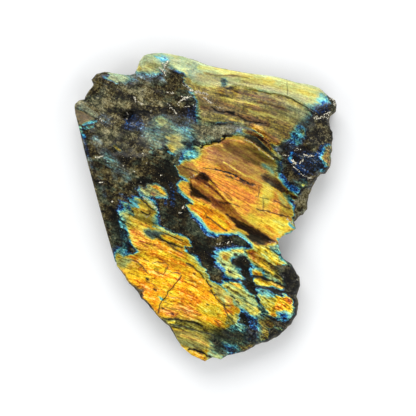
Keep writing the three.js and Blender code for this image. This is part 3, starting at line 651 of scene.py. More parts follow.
def paint_upper_hollow(area, line, spot):
    """The dull, pitted ground of the upper left, with a few pale and teal patches."""
    area([-66, 52, -58, 60, -56, 67, -48, 68.5, -35, 67, -20, 66, -12, 62, -8, 56, -4, 50, -3, 45, -12, 44,
        -20, 30, -14, 27, -14, 20, -18, 12, -34, 4, -40, -5, -48, -10, -58, 10, -64, 36], 9, haze=0.36)
    for at, half, turn, haze in [((-53, 59), (5, 4), 0, 0.4), ((-29, 53), (9, 3), -25, 0.55), ((-47, 52),
        (4, 3), 0, 0.45), ((-38, 51), (4, 5), 0, 0.1), ((-40, 33), (7, 4), -30, 0.3), ((-45, 43), (4, 4), 0,
        0.45), ((-41, 26), (9, 4), -10, 0.14), ((-12, 49), (7, 5), 0, 0.2), ((-30, 22), (9, 4), -30, 0.3),
        ((-52, 12), (4, 12), 15, 0.28), ((-42, -8), (4, 10), 20, 0.12), ((-20, 16), (6, 6), 0, 0.12),
        ((-18, 57), (6, 4), 0, 0.3), ((-58, 52), (3, 3), 0, 0.38)]:
        spot(at, half, turn, haze=haze)
    area([-49, 67.5, -43, 66.5, -38, 65.4, -36, 63, -39, 61.5, -44, 61, -48.5, 63], 3, 0.48, 0.6, milk=0.8)
    area([-35, 65, -28, 65.6, -20, 64.8, -21, 62.4, -29, 62.8, -34, 63], 3, 0.24, 0.25, milk=0.35)
    line([-65, 49.6, -62, 53], 1.4, milk=0.8, haze=0.9)
    line([-62.5, 50, -59, 48.4, -55, 45.6], 1.8, 0.4, 0.22, milk=0.6)
    area([-64.8, 48.8, -61, 47.5, -56, 44.5, -59, 41, -62, 40.3, -63.3, 41.5], 1.6, 0.9, 0.22, 0.8, 0.45,
        quiet=0.7)
    line([-60.4, 40.8, -57, 42, -54.5, 42.4], 1.1, 0.31, 0.75)
    line([-60, 38.8, -56, 40], 1.2, 0.38, 0.45)
    line([-62.3, 39.4, -61.2, 36], 1.2, 0.52, 0.75)
    spot((-60.4, 34.6), (1.1, 1.2), 0, 0.25, 1)
    line([-60, 33, -58.4, 26], 1.5, 0.12, 0.6)
    area([-39.5, 40, -38, 43, -35.5, 44, -32, 42, -32, 39.5, -35, 38.5, -38, 38.5], 2, 0.12, 0.75, 0.8)
    area([-54, 44.5, -51, 46, -47.5, 44, -48, 42, -50, 41, -52.5, 42.5], 2, 0.26, 0.3, milk=0.45)
    area([-43, 46.6, -40, 49.4, -37.6, 47.4, -33, 48.4, -30, 46.8, -35, 45.6, -37, 42.6, -40.6, 43.4], 1.2,
        shade=0.35, haze=0.1)
    line([-45.6, 30.4, -42.6, 27.8], 1.2, 0.97, 0.3, 0.8)
    line([-55, 33, -50, 26.5, -46, 22, -39.6, 17], 3.8, 0.3, 0.27, milk=0.25)
    line([-46, 20, -45, 14], 2, 0.32, 0.15, milk=0.25)
    line([-58, 24, -54, 16, -50, 6], 2.4, 0.2, 0.16)
    line([-42, 6, -37, 3, -33, -1], 2.2, 0.2, 0.22)
    area([-30, 40, -27, 44, -22, 46, -16, 44, -11, 40, -8, 37, -6, 33, -9, 29, -14, 26, -17, 27, -20, 31,
        -24, 29, -29, 30, -31, 35], 5, 0.38, 0.25, milk=0.3, quiet=0.5)
    spot((-22, 42.3), (3, 2.2), -20, 0.52, 0.42, milk=0.35)
    spot((-23.5, 37.6), (2.6, 2), -30, 0.28, 0.35)
    spot((-15.6, 32), (3.6, 4.2), -30, 0.64, 0.36, milk=0.45)
    spot((-17, 28.6), (2, 1.4), -40, 0.7, 0.42, milk=0.3)
    line([-19, 27.6, -15.4, 25.4], 0.7, 0.36, 0.6)
    spot((-26, 29), (1.6, 3.6), -30, 0.36, 0.25)
    area([-14, 43, -8, 41, -3.5, 38, -2.5, 34, -5, 33, -8, 36, -11, 37, -14, 39], 2.4, 0.27, 0.4, milk=0.15,
        quiet=0.4)
    spot((-5, 37.6), (3.4, 3.6), -30, 0.36, 0.5, milk=0.35)
    spot((-8, 41), (4, 2.4), -30, 0.33, 0.45, milk=0.3)
    area([-8, 48, -4, 49, -2, 46, -2.5, 42, -5, 41.5, -10, 40.5, -9, 44], 3, 0.12, 0.35)
    spot((-13, 43), (3.4, 3), -20, 0.14, 0.2)
    spot((-8.6, 30.4), (2.8, 1.8), -30, flash=0.1, shade=0.4, haze=0.1)
    spot((-30.8, 31.5), (3, 2), -30, flash=0.05, shade=0.8, haze=0.2)
    spot((-13.8, 50.6), (3, 2), -10, haze=0.4)
    spot((-39, 50.4), (3.4, 2), -10, haze=0.42)
    for at in [(-28, 21), (-35.5, 17.5), (-33, 12.8), (-35, 11), (-24.6, 53), (-31, 57.4), (-46, 55),
        (-50, 51.6), (-27, 47.6), (-41.6, 20.6), (-22, 15.6), (-47.4, 3.4), (-54.4, 33.6), (-30.4, 26),
        (-37.6, 25)]:
        spot(at, (0.35, 0.3), -30, bruise=0.8)


def paint_shoulder(area, line, spot):
    """The pale golden top knob and shoulder, which slope away to the edge. Their milky paleness is partly a
    painted sheen of the light on that slope, and their outer edge has painted highlights.
    """
    area([-35, 66.8, -34.5, 69, -33.5, 73, -31, 76, -28, 77.4, -22, 78, -18, 77.6, -12, 76.4, -5, 74.4,
        0, 72.3, 10, 70.2, 30, 67.2, 45, 63.6, 56, 60.6, 61.5, 56, 60, 51, 58, 50, 54, 49.5, 50, 49.8,
        46, 51.8, 43, 53.6, 40, 55, 35, 56, 30, 57.3, 25, 58.5, 20, 59.8, 14, 61, 8, 60.5, 0, 60, -6, 62,
        -10, 65, -14, 67.5, -17, 69, -20, 70, -22, 67, -26, 66.3, -31, 66.6], 2, 0.57, 0.65, 1.12, 0.8,
        quiet=0.5)
    area([-34, 67.6, -33, 73, -30, 76, -26, 76.6, -24, 71, -25, 67.4], 2, 0.5, 0.5, 1.08, 0.8)
    spot((-32.6, 68.6), (1.6, 2), 0, 0.66, 0.5, 0.7, 0.3)
    area([-30, 67.6, -29, 72, -25, 73, -22.5, 69.4, -24, 67.4], 3, 0.62, 0.5, 0.72, 0.35)
    area([-25, 75.4, -20, 76.4, -17, 73.5, -20, 71, -24, 72], 2, 0.34, 0.7)
    area([-24, 73.5, -21.5, 74.8, -19, 73.5, -21.5, 71.6], 1.2, 0.25, 1, milk=0.1)
    area([-22, 70, -18.6, 71.4, -15, 68.4, -17, 66, -20.4, 66.4], 2, flash=0.2, shade=0.85, milk=0.4, haze=0.6)
    area([-10, 66, -8.5, 72.6, -3, 72, -1.5, 67, -3, 63, -8, 63], 3, 0.45, 0.5, milk=0.85)
    area([-16, 71, -12, 76, -6, 74, -9, 69, -13, 67], 2, 0.5, 0.7, milk=0.85)
    line([-3, 69.4, 3, 69.2, 8, 68], 2.2, 0.62, 1, 1.2, 0.4)
    # Painted highlight: a pale line along the sloping outer edge of the knob and shoulder, where the polish catches
    # the light
    line([-26, 77.4, -12, 75.6, 2, 71.4, 14, 69, 28, 66.6, 40, 64.2], 1.6, 0.56, shade=1.42, milk=1)
    line([8, 68, 20, 65.8, 30, 64.4, 38, 62.6, 46, 59.8, 54, 56.8], 2.2, 0.61, 0.9, 1.2, 0.6)
    # Painted highlight: another pale line along the outer edge of the shoulder
    line([28, 66, 36, 65, 45, 62.6, 53, 60.8], 1.6, 0.52, shade=1.4, milk=1)
    spot((31, 62), (3.8, 2.4), -15, 0.73, 0.9, 1.15, 0.5)
    spot((22, 63.4), (3, 1.8), -15, 0.66, 0.9, 1.2, 0.6)
    line([16.6, 66.4, 20, 65.4, 22.4, 64.5], 0.9, 0.82, 0.9)
    line([-1, 66.4, 6, 65, 10, 65.4, 17, 65, 21, 63.8], 1, 0.85, 0.5, 0.6)
    area([-4, 66, 6, 64.6, 16, 64, 28, 61, 28, 58.6, 14, 61, 4, 60.6, -5, 62.6], 2, 0.66, 0.45, 0.72, 0.5)
    area([11, 62.6, 28, 61, 46, 58, 55, 54, 50, 51, 44, 54, 30, 58, 18, 60.4], 2.4, 0.62, 0.55, 1.1, 0.7)
    line([18, 62, 30, 60.4, 42, 57.6], 1, 0.72, shade=0.75)
    area([56, 55.5, 59, 56.8, 60.4, 54, 58, 52.5, 56.5, 53], 1.6, 0.36, 0.9)
    area([55.5, 53.4, 58.5, 54, 60.2, 51.5, 57, 50.5, 55.3, 51.3], 1, 0.25, 1)
    area([54, 50.5, 60, 51.6, 61, 47, 58, 46, 54.5, 48], 1.8, 0.12, 0.5)
    spot((48, 53.6), (4.4, 1.6), -25, 0.62, shade=0.82)
    spot((56.8, 53.4), (3, 1.9), 55, 0.36, 1, 1.6, 0.4)
    spot((58.2, 52), (2.6, 1), 55, 0.25, 1, 1.5, 0.1)
    # Painted highlights: the outer edge brightened, here and in the next two lines, where the slope catches the
    # light
    line([6, 67.2, 14, 66.4, 21, 66], 1.5, 0.6, 0.9, 1.5, 0.6)
    line([-8, 74.4, -2, 72, 3, 70.6], 2.2, 0.48, shade=1.75, milk=1)
    line([-34.4, 69, -33.6, 73, -30.6, 76.4, -25, 77.6], 1.6, shade=1.6, milk=1)
    spot((8.7, 61.8), (2.4, 1.2), 65, 0.34, 0.35, 0.6, 0.1)
    spot((11.6, 58.6), (1.3, 1), 0, flash=0.1, shade=0.3, haze=0.1)


def paint_band(area, line, spot):
    """The bronze band under the shoulder, full of dark and pale streaks."""
    area([-10, 65, -5, 62, 0, 60, 8, 60.5, 14, 61, 20, 59.5, 30, 57, 40, 54.5, 46, 51, 52, 47, 50, 44, 45, 41,
        42, 37, 39, 32, 33, 32, 28, 37.5, 24, 39.5, 14, 41.5, 8, 42, 4, 42, 0, 42, -2, 38, -3, 44, -3, 50,
        -6, 56, -10, 61], 2.5, 0.72, 0.4, 0.56, 0.35, 0.4, quiet=0.4)
    area([28, 54, 38, 52, 48, 46, 49, 42, 40, 43, 30, 45, 22, 49], 5, 0.63, 0.36, 0.58, 0.4, quiet=0.6)
    area([-8, 62, 2, 59.6, 9, 59.4, 8, 56, 2, 56, -5, 58], 2.4, 0.66, 0.5, 0.68)
    area([-3, 55, 4, 54, 9, 50, 6, 44, 2, 40, -2, 45], 4, 0.76, 0.3, 0.66)
    spot((16.4, 55.2), (2, 1.5), -15, 0.84, 0.6, 0.8)
    area([6, 60, 20, 58.6, 34, 54, 46, 50, 40, 47, 20, 53, 6, 55], 4, 0.72, shade=0.48, milk=0.12)
    line([8, 53.6, 18, 51.8, 26, 49.6], 1.2, 0.68, 0.6, 0.8, 0.3)
    line([20, 47.6, 32, 45, 40, 43], 1.6, 0.62, 0.55, 0.75, 0.4)
    line([26, 56.4, 36, 53.4, 44, 50], 1.3, 0.62, 0.5, 0.78, 0.5)
    line([-2, 49, 6, 47.6, 20, 44, 30, 41.5], 1.5, 0.9, shade=0.3)
    line([26, 51.8, 36, 49, 44, 47], 1.2, 0.9, shade=0.38)
    line([12, 57.8, 22, 55.4, 34, 52.4], 1, 0.85, shade=0.42)
    line([4, 52.4, 12, 50, 20, 47.4], 1.3, 0.85, shade=0.42)
    line([30, 43.8, 38, 41, 43, 38], 1.8, 0.8, shade=0.4)
    line([12, 42.8, 20, 41.6, 28, 39], 0.9, 0.74, 0.8, 0.9)
    line([20, 40.4, 24, 38.9, 27.6, 37.4], 1.2, 0.82, 1, 1)
    line([14, 41.3, 18, 40.8], 0.8, 0.62, 0.9, 1, 0.6)
    area([24, 38.5, 28, 38, 33, 36, 37, 33, 38, 30.5, 34, 30.5, 30, 31, 28, 35], 2, 0.78, 0.4, 0.7)
    area([42, 37, 41.5, 33, 43.5, 30, 46, 31, 48, 33.5, 50.5, 35.5, 50.5, 39, 53, 42, 51, 45.5, 48, 43,
        45, 41], 3, 0.28, 0.35, milk=0)
    line([18, 44.8, 25, 42.6, 31, 40.6], 1.8, 0.88, shade=0.34, milk=0.1)
    line([19, 50, 27, 48, 34, 46.4], 1.8, 0.82, shade=0.36)
    line([35, 55, 41, 53.2, 47, 51], 2, 0.7, shade=0.46)
    spot((21.4, 41), (3, 1.6), -15, 0.8, shade=0.4)
    line([-2, 60.6, 6, 59.8], 1.6, shade=0.55)
    for at, phase in [((44, 35), 0.22), ((46.4, 40), 0.22), ((51, 43), 0.22), ((48, 37), 0.45), ((45, 31.6),
        0.34)]:
        spot(at, (1.7, 1.2), -45, phase, 0.42, 0.8)
    area([50, 44, 62, 43, 64, 30, 52, 30, 50.5, 38], 4, flash=0.04, haze=0.2, rough=0.5)
    spot((57, 40), (3, 1.4), -30, haze=0.4)
    spot((38, 37), (3.4, 2), -30, 0.78, shade=0.36)
    spot((60, 33), (1.6, 2), 0, haze=0.34)
    area([39, 52, 44, 50, 48, 48, 52, 45.5, 50, 44, 45, 46, 40, 48], 2.4, 0.52, 0.3, 0.72, 0.5)
    area([4, 38, 10, 41, 20, 40, 23, 36.5, 16, 35.9, 10, 35.9], 3, flash=0.2, shade=0.95, milk=0.4, haze=0.6)
    area([-4, 31.4, -5, 40, 8, 40, 8.4, 34.4, 4, 33], 2.4, 0.4, 0.08, 0.85, 0.25, 0.5, rough=0.4)
    # Painted shade: a dark line along the groove over the fan, on its wall turned away from the light
    line([-2.5, 30.4, 0, 31.1, 3, 32.3, 7, 33, 9, 35.2, 12, 35.6, 17, 35.5, 22, 34.4, 26, 31.6, 30, 28,
        33.4, 24.6], 0.6, flash=0.1, shade=0.26, haze=0.1)
    area([30, 31, 38, 30, 41, 27, 40, 22, 35, 20, 32, 24, 26, 32], 2.5, flash=0.1, shade=0.8, haze=0.3)
    area([24, 38, 29, 37.6, 34, 35, 37.4, 31.4, 35.6, 29.6, 32.6, 31.6, 28.6, 34.8], 1.4, 0.84, 0.6, 0.42,
        rim=0, ragged=0.5)
    spot((39, 29.6), (2.6, 2), -40, flash=0.08, shade=0.7, haze=0.16)
    # Painted shadow: a dark band along the north side of the groove, under its ridge
    line([19, 37.8, 25, 35.6, 28.4, 32.8, 33, 28, 36.8, 23.6], 1.7, 0.95, 0.4, 0.14, haze=0.05)
    spot((35.4, 25.4), (2.4, 0.9), -30, 0.48, 0.3, 0.8, 0.3)


def paint_fan(area, line, spot):
    """The great golden fan in the middle, with its blue rims and the dark wedge that splits it."""
    area([-13, 21, -11, 28, -6, 30, -1.5, 29.8, -2, 24, -7, 22.6], 3, 0.3, 0.5)
    spot((-9.4, 26.2), (1.8, 1.2), 30, 0.38, 0.6, 0.9)
    spot((-4.4, 27.4), (1.8, 2), 30, 0.26, 0.6, 0.7)
    area([-14.2, 19, -12, 21.4, -7, 23.6, -3.4, 24.4, -2.4, 27, -1.6, 29.3, 3, 30.8, 7, 31.8, 9, 33.8,
        13, 34.3, 18, 33.3, 22, 32, 25.5, 29.5, 28.5, 26.5, 31.5, 23.8, 33, 20.5, 34, 17, 36, 14.5, 38.5, 12,
        38.5, 8, 40, 5.5, 41.5, 2.5, 43, 0, 43, -4, 42.5, -7.5, 45.5, -10.5, 40, -14, 37.2, -16, 36.2, -18.5,
        30, -19.8, 24, -19.8, 20.5, -16.5, 16, -13.5, 12, -13, 8, -13.5, 5.4, -14, 3.5, -12.5, 0.5, -11.5,
        -1, -8.5, -3, -6, -6, -4, -8.5, -1, -9.5, 0.3, -6, 0.5, -6.5, 2.3, -9, 4, -12, 7, -13.8, 9.5,
        -13.5, 11, -11.5, 12.8, -9.5, 13.3, -8.5, 14.5, -11, 15.6, -13.3, 16.8], 1.3, 0.82, 1, 1, 0.16, 0.15,
        fade=3, quiet=0.5)
    # its upper part, duller towards the top right
    area([-4, 29, 7, 33, 13, 36, 24, 34, 34, 24, 36, 12, 28, 12.6, 20, 16.4, 10, 21.6, 4, 22], 3.4, 0.84,
        shade=0.5, milk=0.25)
    area([8, 34, 22, 33, 31, 26, 34, 18, 28, 19, 22, 23, 14, 26, 6, 29], 4, 0.82, 0.8, 0.38, quiet=0.5)
    area([8, 31.6, 12, 31, 20, 26.4, 27, 22.4, 29, 19.8, 24, 20.6, 17, 24.4, 10, 28.6], 1.8, 0.8, shade=0.16)
    line([27, 27, 30.4, 23.4, 33, 19], 1.6, 0.68, shade=0.16)
    line([4, 30.6, 10, 27.6, 18, 23], 0.6, 0.72, shade=0.62)
    line([6, 22.6, 14, 20.4, 22, 16.8, 27, 14.6], 2.2, 0.84, shade=0.42, milk=0.3)
    area([-15, 20, -13.6, 16, -8.5, 14, -3.4, 17.5, -6, 20.4, -10, 23], 1.4, 0.84, 0.8, 0.3, 0.25)
    line([-12, 21, -7.6, 19.6, -4, 18], 0.8, 0.76, shade=0.7)
    spot((-5.4, 21.8), (2.2, 1), -35, 0.74, 1, 1)
    # Painted highlights: the lit lip on the south side of the groove, in this line and the next
    line([0, 30.2, 4, 31.2, 7, 31, 8, 30], 0.9, 0.74, 1, 1)
    line([8.5, 33.9, 12, 33.8, 16, 33, 19, 31.8, 23, 29.6], 0.9, 0.78, 1, 1)
    line([6, 22, 14, 18, 20, 14.2, 26, 11.4, 32, 7.8, 37, 4.6], 3, 0.85, shade=0.42)
    line([21, 10, 26, 8, 31, 6, 35, 4], 2.4, shade=0.5)
    area([20, 31.6, 25, 29.4, 30, 25.4, 34.6, 21.6, 35, 17.6, 31, 19.5, 27, 22.6, 22, 26.6, 16, 30], 2.2,
        shade=0.15)
    # Painted shadow: a dark line along the north side of the groove
    line([20, 35, 26, 31.6, 31, 27.4, 35.4, 22.6, 36.6, 17], 1.5, flash=0.03, shade=0.35, haze=0.1)
    spot((31.6, 24), (2.8, 1.3), -42, 0.8, shade=0.14)
    # the dark corner towards the right, with its teal eye and deep blue arc
    area([27.4, 16, 29, 12.6, 33.4, 10.4, 37.8, 6.8, 41.4, 2.6, 46, 4.6, 44, 7.4, 41.4, 9.6, 38.6, 12.6,
        34, 15, 31, 16.2], 0.9, 0.9, 0.3, 0.17, haze=0.1, ragged=0.5)
    spot((25, 18), (4, 1.6), -28, 0.8, shade=0.6, milk=0.35)
    line([31, 12.6, 36, 9.6, 40, 5.6], 1.6, flash=0.1, shade=0.14)
    area([27.6, 22, 31, 21, 34.4, 18, 34, 15.4, 32, 16, 29.6, 18.4, 27, 20.6], 2.4, 0.36, 0.5, 0.6)
    line([28.6, 21, 31.4, 19, 33, 17], 1, 0.4, 0.8, 0.75, 0.1)
    line([37, 15, 39.4, 11.6, 43, 8.4, 46, 7], 2.4, 0.14, 0.9, 1)
    line([37.8, 13, 40, 10.2, 43, 8], 1.1, 0.24, 1)
    spot((46.3, 7), (0.9, 0.8), 0, 0.32, 1)
    area([35.4, 6.6, 38.5, 4, 40.8, 1, 38, 1.2, 35.6, 3.4], 1, 0.56, 0.9, 0.6, 0.4)
    line([38.7, 6.4, 40.4, 4, 42, 1.5, 43, -0.8], 1.5, 0.3, 1)
    line([41, 5.4, 42.6, 2.8, 44, 0.4], 1.2, 0.12, 0.6)
    # the bright right end
    line([31, 9, 28, 2, 23, -7], 5, 0.66, shade=0.8, milk=0.2)
    area([-1, 21, 12, 15, 24, 7, 22, -2, 12, 2, 4, 12], 4, 0.85, quiet=0.62)
    area([32.6, 3.4, 37, 2.4, 37.4, -2, 34, -3.5, 32, -1], 1.6, 0.85, shade=0.85)
    area([36.6, 0.6, 42.6, 1, 43, -4, 39, -4.6, 36.4, -3], 1.4, 0.76, 0.8, 0.42)
    spot((38.6, -5.4), (3.4, 1.6), -15, shade=0.6)
    spot((38.6, -3.6), (2.4, 1.8), -20, 0.8, shade=0.42)
    line([12, 4.4, 18, 1.4, 24, -2.4, 29, -5.6], 2.2, 0.82, shade=1.12)
    line([16, 12, 22, 8.6, 27, 6.6], 1.4, 0.82, shade=0.8)
    area([20, -5, 28, -5, 38, -5, 42, -8, 38, -14, 33, -14, 26, -9.6], 2.4, 0.68, shade=1, milk=0.1)
    spot((32, -10.6), (2.6, 1.2), -35, 0.8, shade=0.95)
    line([41, -8, 42.3, -9.8, 43.8, -10.4], 1, 0.3, 0.95)
    area([35.6, -12, 40, -12.2, 37.4, -15], 1, 0.6, 1, 1)
    spot((36, -16.4), (0.8, 1.2), 0, 0.34, 0.8)
    # Painted highlights: bright lines along the groove's lit lip and along the ledge over the fan's right part
    for points in [[8, 34, 13, 34.2, 18, 33.4, 22, 32.2, 25.6, 29.6, 29, 26.6, 33, 23.8], [8.8, 22, 12.4, 20,
        17, 16.9, 25.4, 12.9, 32, 9.6, 38, 6]]:
        line(points, 0.6, 0.66, 1, 0.9, 0.3)
    # the dark wedge and the dark band that follows it, over the chip and down the valley: partly the stone's own
    # dark, partly painted shade in these hollows
    area([-8.6, 12.8, -6.5, 11.6, -5.4, 14, -4.5, 16, -2.8, 17.2, -0.6, 16.4, 2.4, 13, 5, 10.4, 9, 5.6, 13, 1,
        18, -4, 23, -8.6, 28, -12.6, 34, -17, 28, -18, 20, -13.6, 14, -8.4, 9, -3.6, 4, 0.6, -2, 4, -8, 5.3],
        0.9, 0.86, 0.95, 0.42, haze=0.2)
    area([-7.6, 14.4, -5, 15, -2.2, 16.9, -0.4, 16.4, 1.4, 14.8, 4.4, 11.5, 8, 7.3, 12.8, 3, 9.8, 3.4, 5, 6.8,
        1, 10, -3, 12.8], 0.5, 0.92, 0.6, 0.2, haze=0.05, ragged=0.4)
    area([-3.6, 16.2, -1.9, 17, 0.6, 14.8, 3.4, 11.6, -0.2, 12.9, -2, 14.4], 0.6, flash=0.3, shade=0.14,
        haze=0.03, ragged=0.25)
    area([-8.2, 12.8, -6.4, 10.2, -2.8, 7.6, 1.6, 4.2, 3.6, 2, -1, 3.8, -5.2, 4.8, -7.8, 5.6], 0.6, flash=0.3,
        shade=0.1, haze=0.03, ragged=0.25)
    line([-7.9, 13.9, -3.4, 11.2, 0.8, 7.9, 5, 4.6, 8, 2.2], 0.7, 0.8, 1, 0.75)
    line([-4.4, 13.4, -0.6, 10.9, 4, 7.2, 9, 2.6], 0.4, 0.78, 1, 0.6)
    line([1.6, 12.4, 5, 9.4, 9, 5.4, 14, 0.4, 20, -5.4], 0.9, 0.76, 1, 1)
    area([2.6, 5, 8, 2, 10, -0.6, 6, -1, 3, 1.6], 1, 0.92, 0.8, 0.3)
    area([11, -3.6, 16, -6.4, 21, -9.4, 26.6, -12.6, 33.6, -17, 28, -17.4, 22, -13.8, 16.4, -9.8, 12, -6], 0.9,
        0.9, 0.3, 0.11, haze=0.05)
    area([14, -8.6, 20.6, -10.4, 25.4, -12.2, 30.2, -14.6, 35, -17.6, 29, -17.4, 23, -15.6, 18, -12.6], 0.8,
        0.95, 0.2, 0.1, haze=0.03, ragged=0.5)
    area([13, -11, 19, -12, 24, -14.4, 30, -18, 28, -19.4, 24, -18.6, 21, -15.6, 17, -13.2], 0.9, flash=0.1,
        shade=0.35, haze=0.12)
    line([11, -8, 16, -11, 21, -13.6], 0.8, 0.7, 0.9, 0.75)
    area([27.6, -17, 34, -17, 36, -18.8, 29, -19.2], 1.2, shade=0.7, haze=0.4, rough=0.7)
    # the small bright lobe under the wedge
    area([-13, 10, -12, 10.8, -8.6, 10.4, -8.2, 8, -8.8, 5.6, -11, 7], 1.2, 0.84, shade=0.9)
    area([-8, 3.8, -1, 2, 4, -1, 9, -4.6, 13.6, -10, 10, -12, 2, -10.4, -4, -4, -7, 0], 1, 0.84, 1, 1, 0)
    line([-7.6, 3.6, -4, 2.2, 0, 0.4], 0.9, 0.76, shade=1.05)
    area([4, -3.4, 9, -7, 12, -10.6, 8, -9.6, 3, -6], 1.6, 0.78, 1, 1.1)
    line([-4, -4, 0, -7, 4, -10], 1.2, 0.87, shade=1.05)
    line([10, -12.4, 15, -11.6, 19, -14], 0.9, 0.66, 0.9, 1)
    for at in [(-1, -3.2), (2.7, -1.8), (0.5, -5), (-0.4, 1.2)]:
        spot(at, (0.8, 0.6), -35, flash=0.5, shade=0.4)
    line([-8, 4.2, -6.5, 2.5], 0.8, 0.33, 0.9)
    line([-13.9, 11, -13.5, 8, -10.4, 5.4, -8, 3], 1, 0.3, 0.9)
    line([-6.6, -2.6, -3, -5.8, -1.2, -8.5, 0, -10.5, 2, -12.3, 5, -13.3, 8, -13.2, 12, -13.2, 16, -13,
        19, -14.8, 22, -18, 23.5, -19.5], 1.2, 0.35, 1, 1.15)
    line([-6.4, -5.2, -3.4, -7.4, -1.6, -11, 1, -13.6, 4.6, -14.6], 1.1, 0.18, 0.75, 1)
    line([-17.4, 11, -16.5, 7, -16.5, 1], 1.8, 0.12, 0.5)
    line([-20, 4, -20, 1.4], 1.4, 0.13, 0.4)
    # Painted shade: the shadowed notch at the west end of the groove, between the fan and the hollow
    spot((-4.6, 31.2), (2.6, 1.5), -15, flash=0.05, shade=0.6, milk=0, haze=0.15)
    line([15.6, -2, 20, -6, 25, -9.8], 1.2, 0.76, 1, 0.9)


def paint_small_patch(area, line, spot):
    """The little gold patch over the dark middle."""
    area([-33.5, 8, -31, 10, -28, 10.5, -26.5, 11.3, -23.5, 10.8, -21, 9.5, -19.3, 7.5, -19, 5, -21, 4.8,
        -24, 5, -27, 5.5, -30, 5.2, -32.5, 6], 2, 0.6, 0.4, 0.8, 0.4, glow=0.3)
    area([-25, 10.3, -22, 9.6, -19.7, 6.5, -20.5, 5.5, -23, 8, -26, 9.5], 1, 0.8, 0.9, 0.9, 0.1)
    spot((-26, 6.6), (1.6, 0.9), -25, 0.85, 0.5)
    spot((-32.3, 6.6), (1.6, 1), -20, 0.32, 0.45)
    line([-24.4, 4.7, -20, 4.8, -19, 4.4], 0.8, 0.35, 0.7)
    line([-27.4, 11.4, -24, 11.2], 0.8, 0.38, 0.5)
    spot((-30, 12.6), (5, 1.8), -10, flash=0.02, shade=0.5, haze=0.12)


def paint_plate(area, line, spot):
    """The big golden plate of the lower left, down to the foot."""
    line([-39, 0, -42, -6, -41, -14, -40, -20, -45, -25], 2.6, 0.4, 0.16, haze=0.12)
    area([-37, 3, -35.5, 3.7, -34, 3.6, -32, 2.6, -31, 3.8, -28.5, 2.8, -26.5, 1, -25, -1, -24.7, -3,
        -26.5, -4.8, -26, -7, -27.5, -8.3, -25.5, -9.3, -22, -10.8, -19, -12.5, -15, -14.2, -12.5, -15,
        -10.3, -15, -8.5, -16.3, -7.2, -18, -8, -19.5, -10, -20.3, -9.2, -22.3, -7, -25.2, -4.6, -28,
        -2.9, -30.3, -1.8, -32.8, 0, -34.6, 2, -36.5, 6, -38.5, 9, -41, 13, -44, 14, -46, 15, -49, 17, -51,
        16, -54, 14, -58, 8, -62, 2, -66, 2, -72, 3.3, -76, -0.5, -79, -8, -77, -14, -72, -20, -62, -25, -57,
        -32, -49, -38, -42, -46, -31, -46.5, -26, -43.4, -22, -39, -23.5, -36, -24, -33.5, -22, -34.6, -20,
        -36, -18.5, -35.8, -17, -36.6, -14.5, -37.4, -12, -38.4, -9, -39, -7, -38.6, -5.8, -36, -5, -34.4, -3,
        -35.6, -1, -37, 1], 1.8, 0.79, 1, 1.02, haze=0.15, glow=0.2, fade=7, quiet=0.3)
    # its head
    area([-40, 1, -33, 4, -26, 1, -25, -7, -32, -9, -40, -7], 4, 0.7, 0.75, 0.42, 0.15)
    for points in [[-38, -3.6, -33, -5.6, -28, -6.6], [-35, 0.4, -31, -1.4, -27.6, -2], [-40, -7, -36, -8.6,
        -32, -9], [-30, -8, -25, -9.8, -20, -12]]:
        line(points, 0.9, flash=0.5, shade=0.22)
    spot((-31.6, -0.6), (2.4, 1.4), -30, 0.7, 1, 0.85)
    area([-37, 2, -34, 3.5, -32, 2, -33, 0.5, -36, 0.5], 1, 0.4, 0.7)
    area([-40, 0, -38, 1, -36.5, 0, -37, -1.5, -39.5, -1], 1.6, 0.2, 0.5)
    spot((-37.3, -2), (0.9, 0.7), flash=0.1, shade=0.3)
    line([-38.4, -2.5, -36, -4], 0.9, 0.38, 0.6)
    line([-30, 4.6, -27.4, 2.4, -25.2, 0], 0.9, 0.6, 0.6, 0.9, 0.6)
    # the left side
    line([-38.6, -6, -37.6, -10, -36.2, -14, -35.4, -18], 1.8, 0.56, 0.6, 0.6)
    area([-36, -6, -28, -9, -28, -18, -33, -22, -37, -16, -37, -9], 3, 0.78, 1, 0.85, 0.12)
    line([-37, -8, -33, -9.6, -28, -11.8], 1.1, 0.68, shade=1)
    line([-37, -11.6, -32, -14, -28, -17], 1.2, 0.82, shade=0.8)
    line([-38, -15, -33, -17, -29, -19], 1, 0.7, shade=1)
    spot((-36.2, -20.2), (0.8, 0.6), -30, flash=0.5, shade=0.4)
    # the stripes of its upper right edge
    area([-28, -8, -20, -11, -11, -15.4, -8, -19, -14, -20.6, -22, -17, -27, -13], 1.6, 0.76, shade=0.7)
    line([-26, -9.5, -21, -11.6, -15, -14], 0.8, 0.33, 0.7)
    line([-25.5, -8, -20, -10.3, -16, -12], 0.6, 0.33, 0.5)
    line([-22, -14, -16, -16.4, -11.6, -18.5], 1.1, 0.84, 0.95, 0.85)
    line([-20, -13, -15.4, -15.2, -12, -16.4], 0.7, flash=0.5, shade=0.3)
    line([-24.4, -14.6, -20, -16.8, -15, -18.6, -11, -20.4], 0.9, flash=0.4, shade=0.3)
    line([-34, -17, -29, -18.6, -22, -20.6], 2.6, 0.8, 1, 1.15, 0.1)
    area([-31, -11.6, -28, -11, -24, -12, -19.6, -13.4, -23, -14.6, -27, -15.4, -30, -13.8], 1.4, 0.3, 0.35,
        0.38, 0.5)
    line([-32, -5.6, -28, -7, -24.6, -8.6], 2, shade=0.22)
    spot((-45.6, -3.4), (2, 3), 15, flash=0.05, shade=0.7, haze=0.1)
    # the lower left corner
    area([-46, -26, -41, -24, -36, -26, -38, -31, -45, -31], 4, 0.62, 0.6, 0.62, 0.2)
    line([-41.4, -7, -40.4, -11, -39, -15, -38.4, -19], 1.4, flash=0.12, shade=0.8, haze=0.15)
    line([-41.4, -4.6, -42, -7.4, -41.4, -9.6], 0.8, 0.34, 0.6)
    area([-45, -21, -40, -21.6, -37, -23.5, -41, -24.5], 2, 0.24, 0.4, 0.65)
    line([-46, -22, -45.4, -27], 1.2, 0.12, 0.4)
    area([-39, -28, -33, -27, -31, -30, -35, -33, -39, -31], 2, 0.8, 0.8, 0.62)
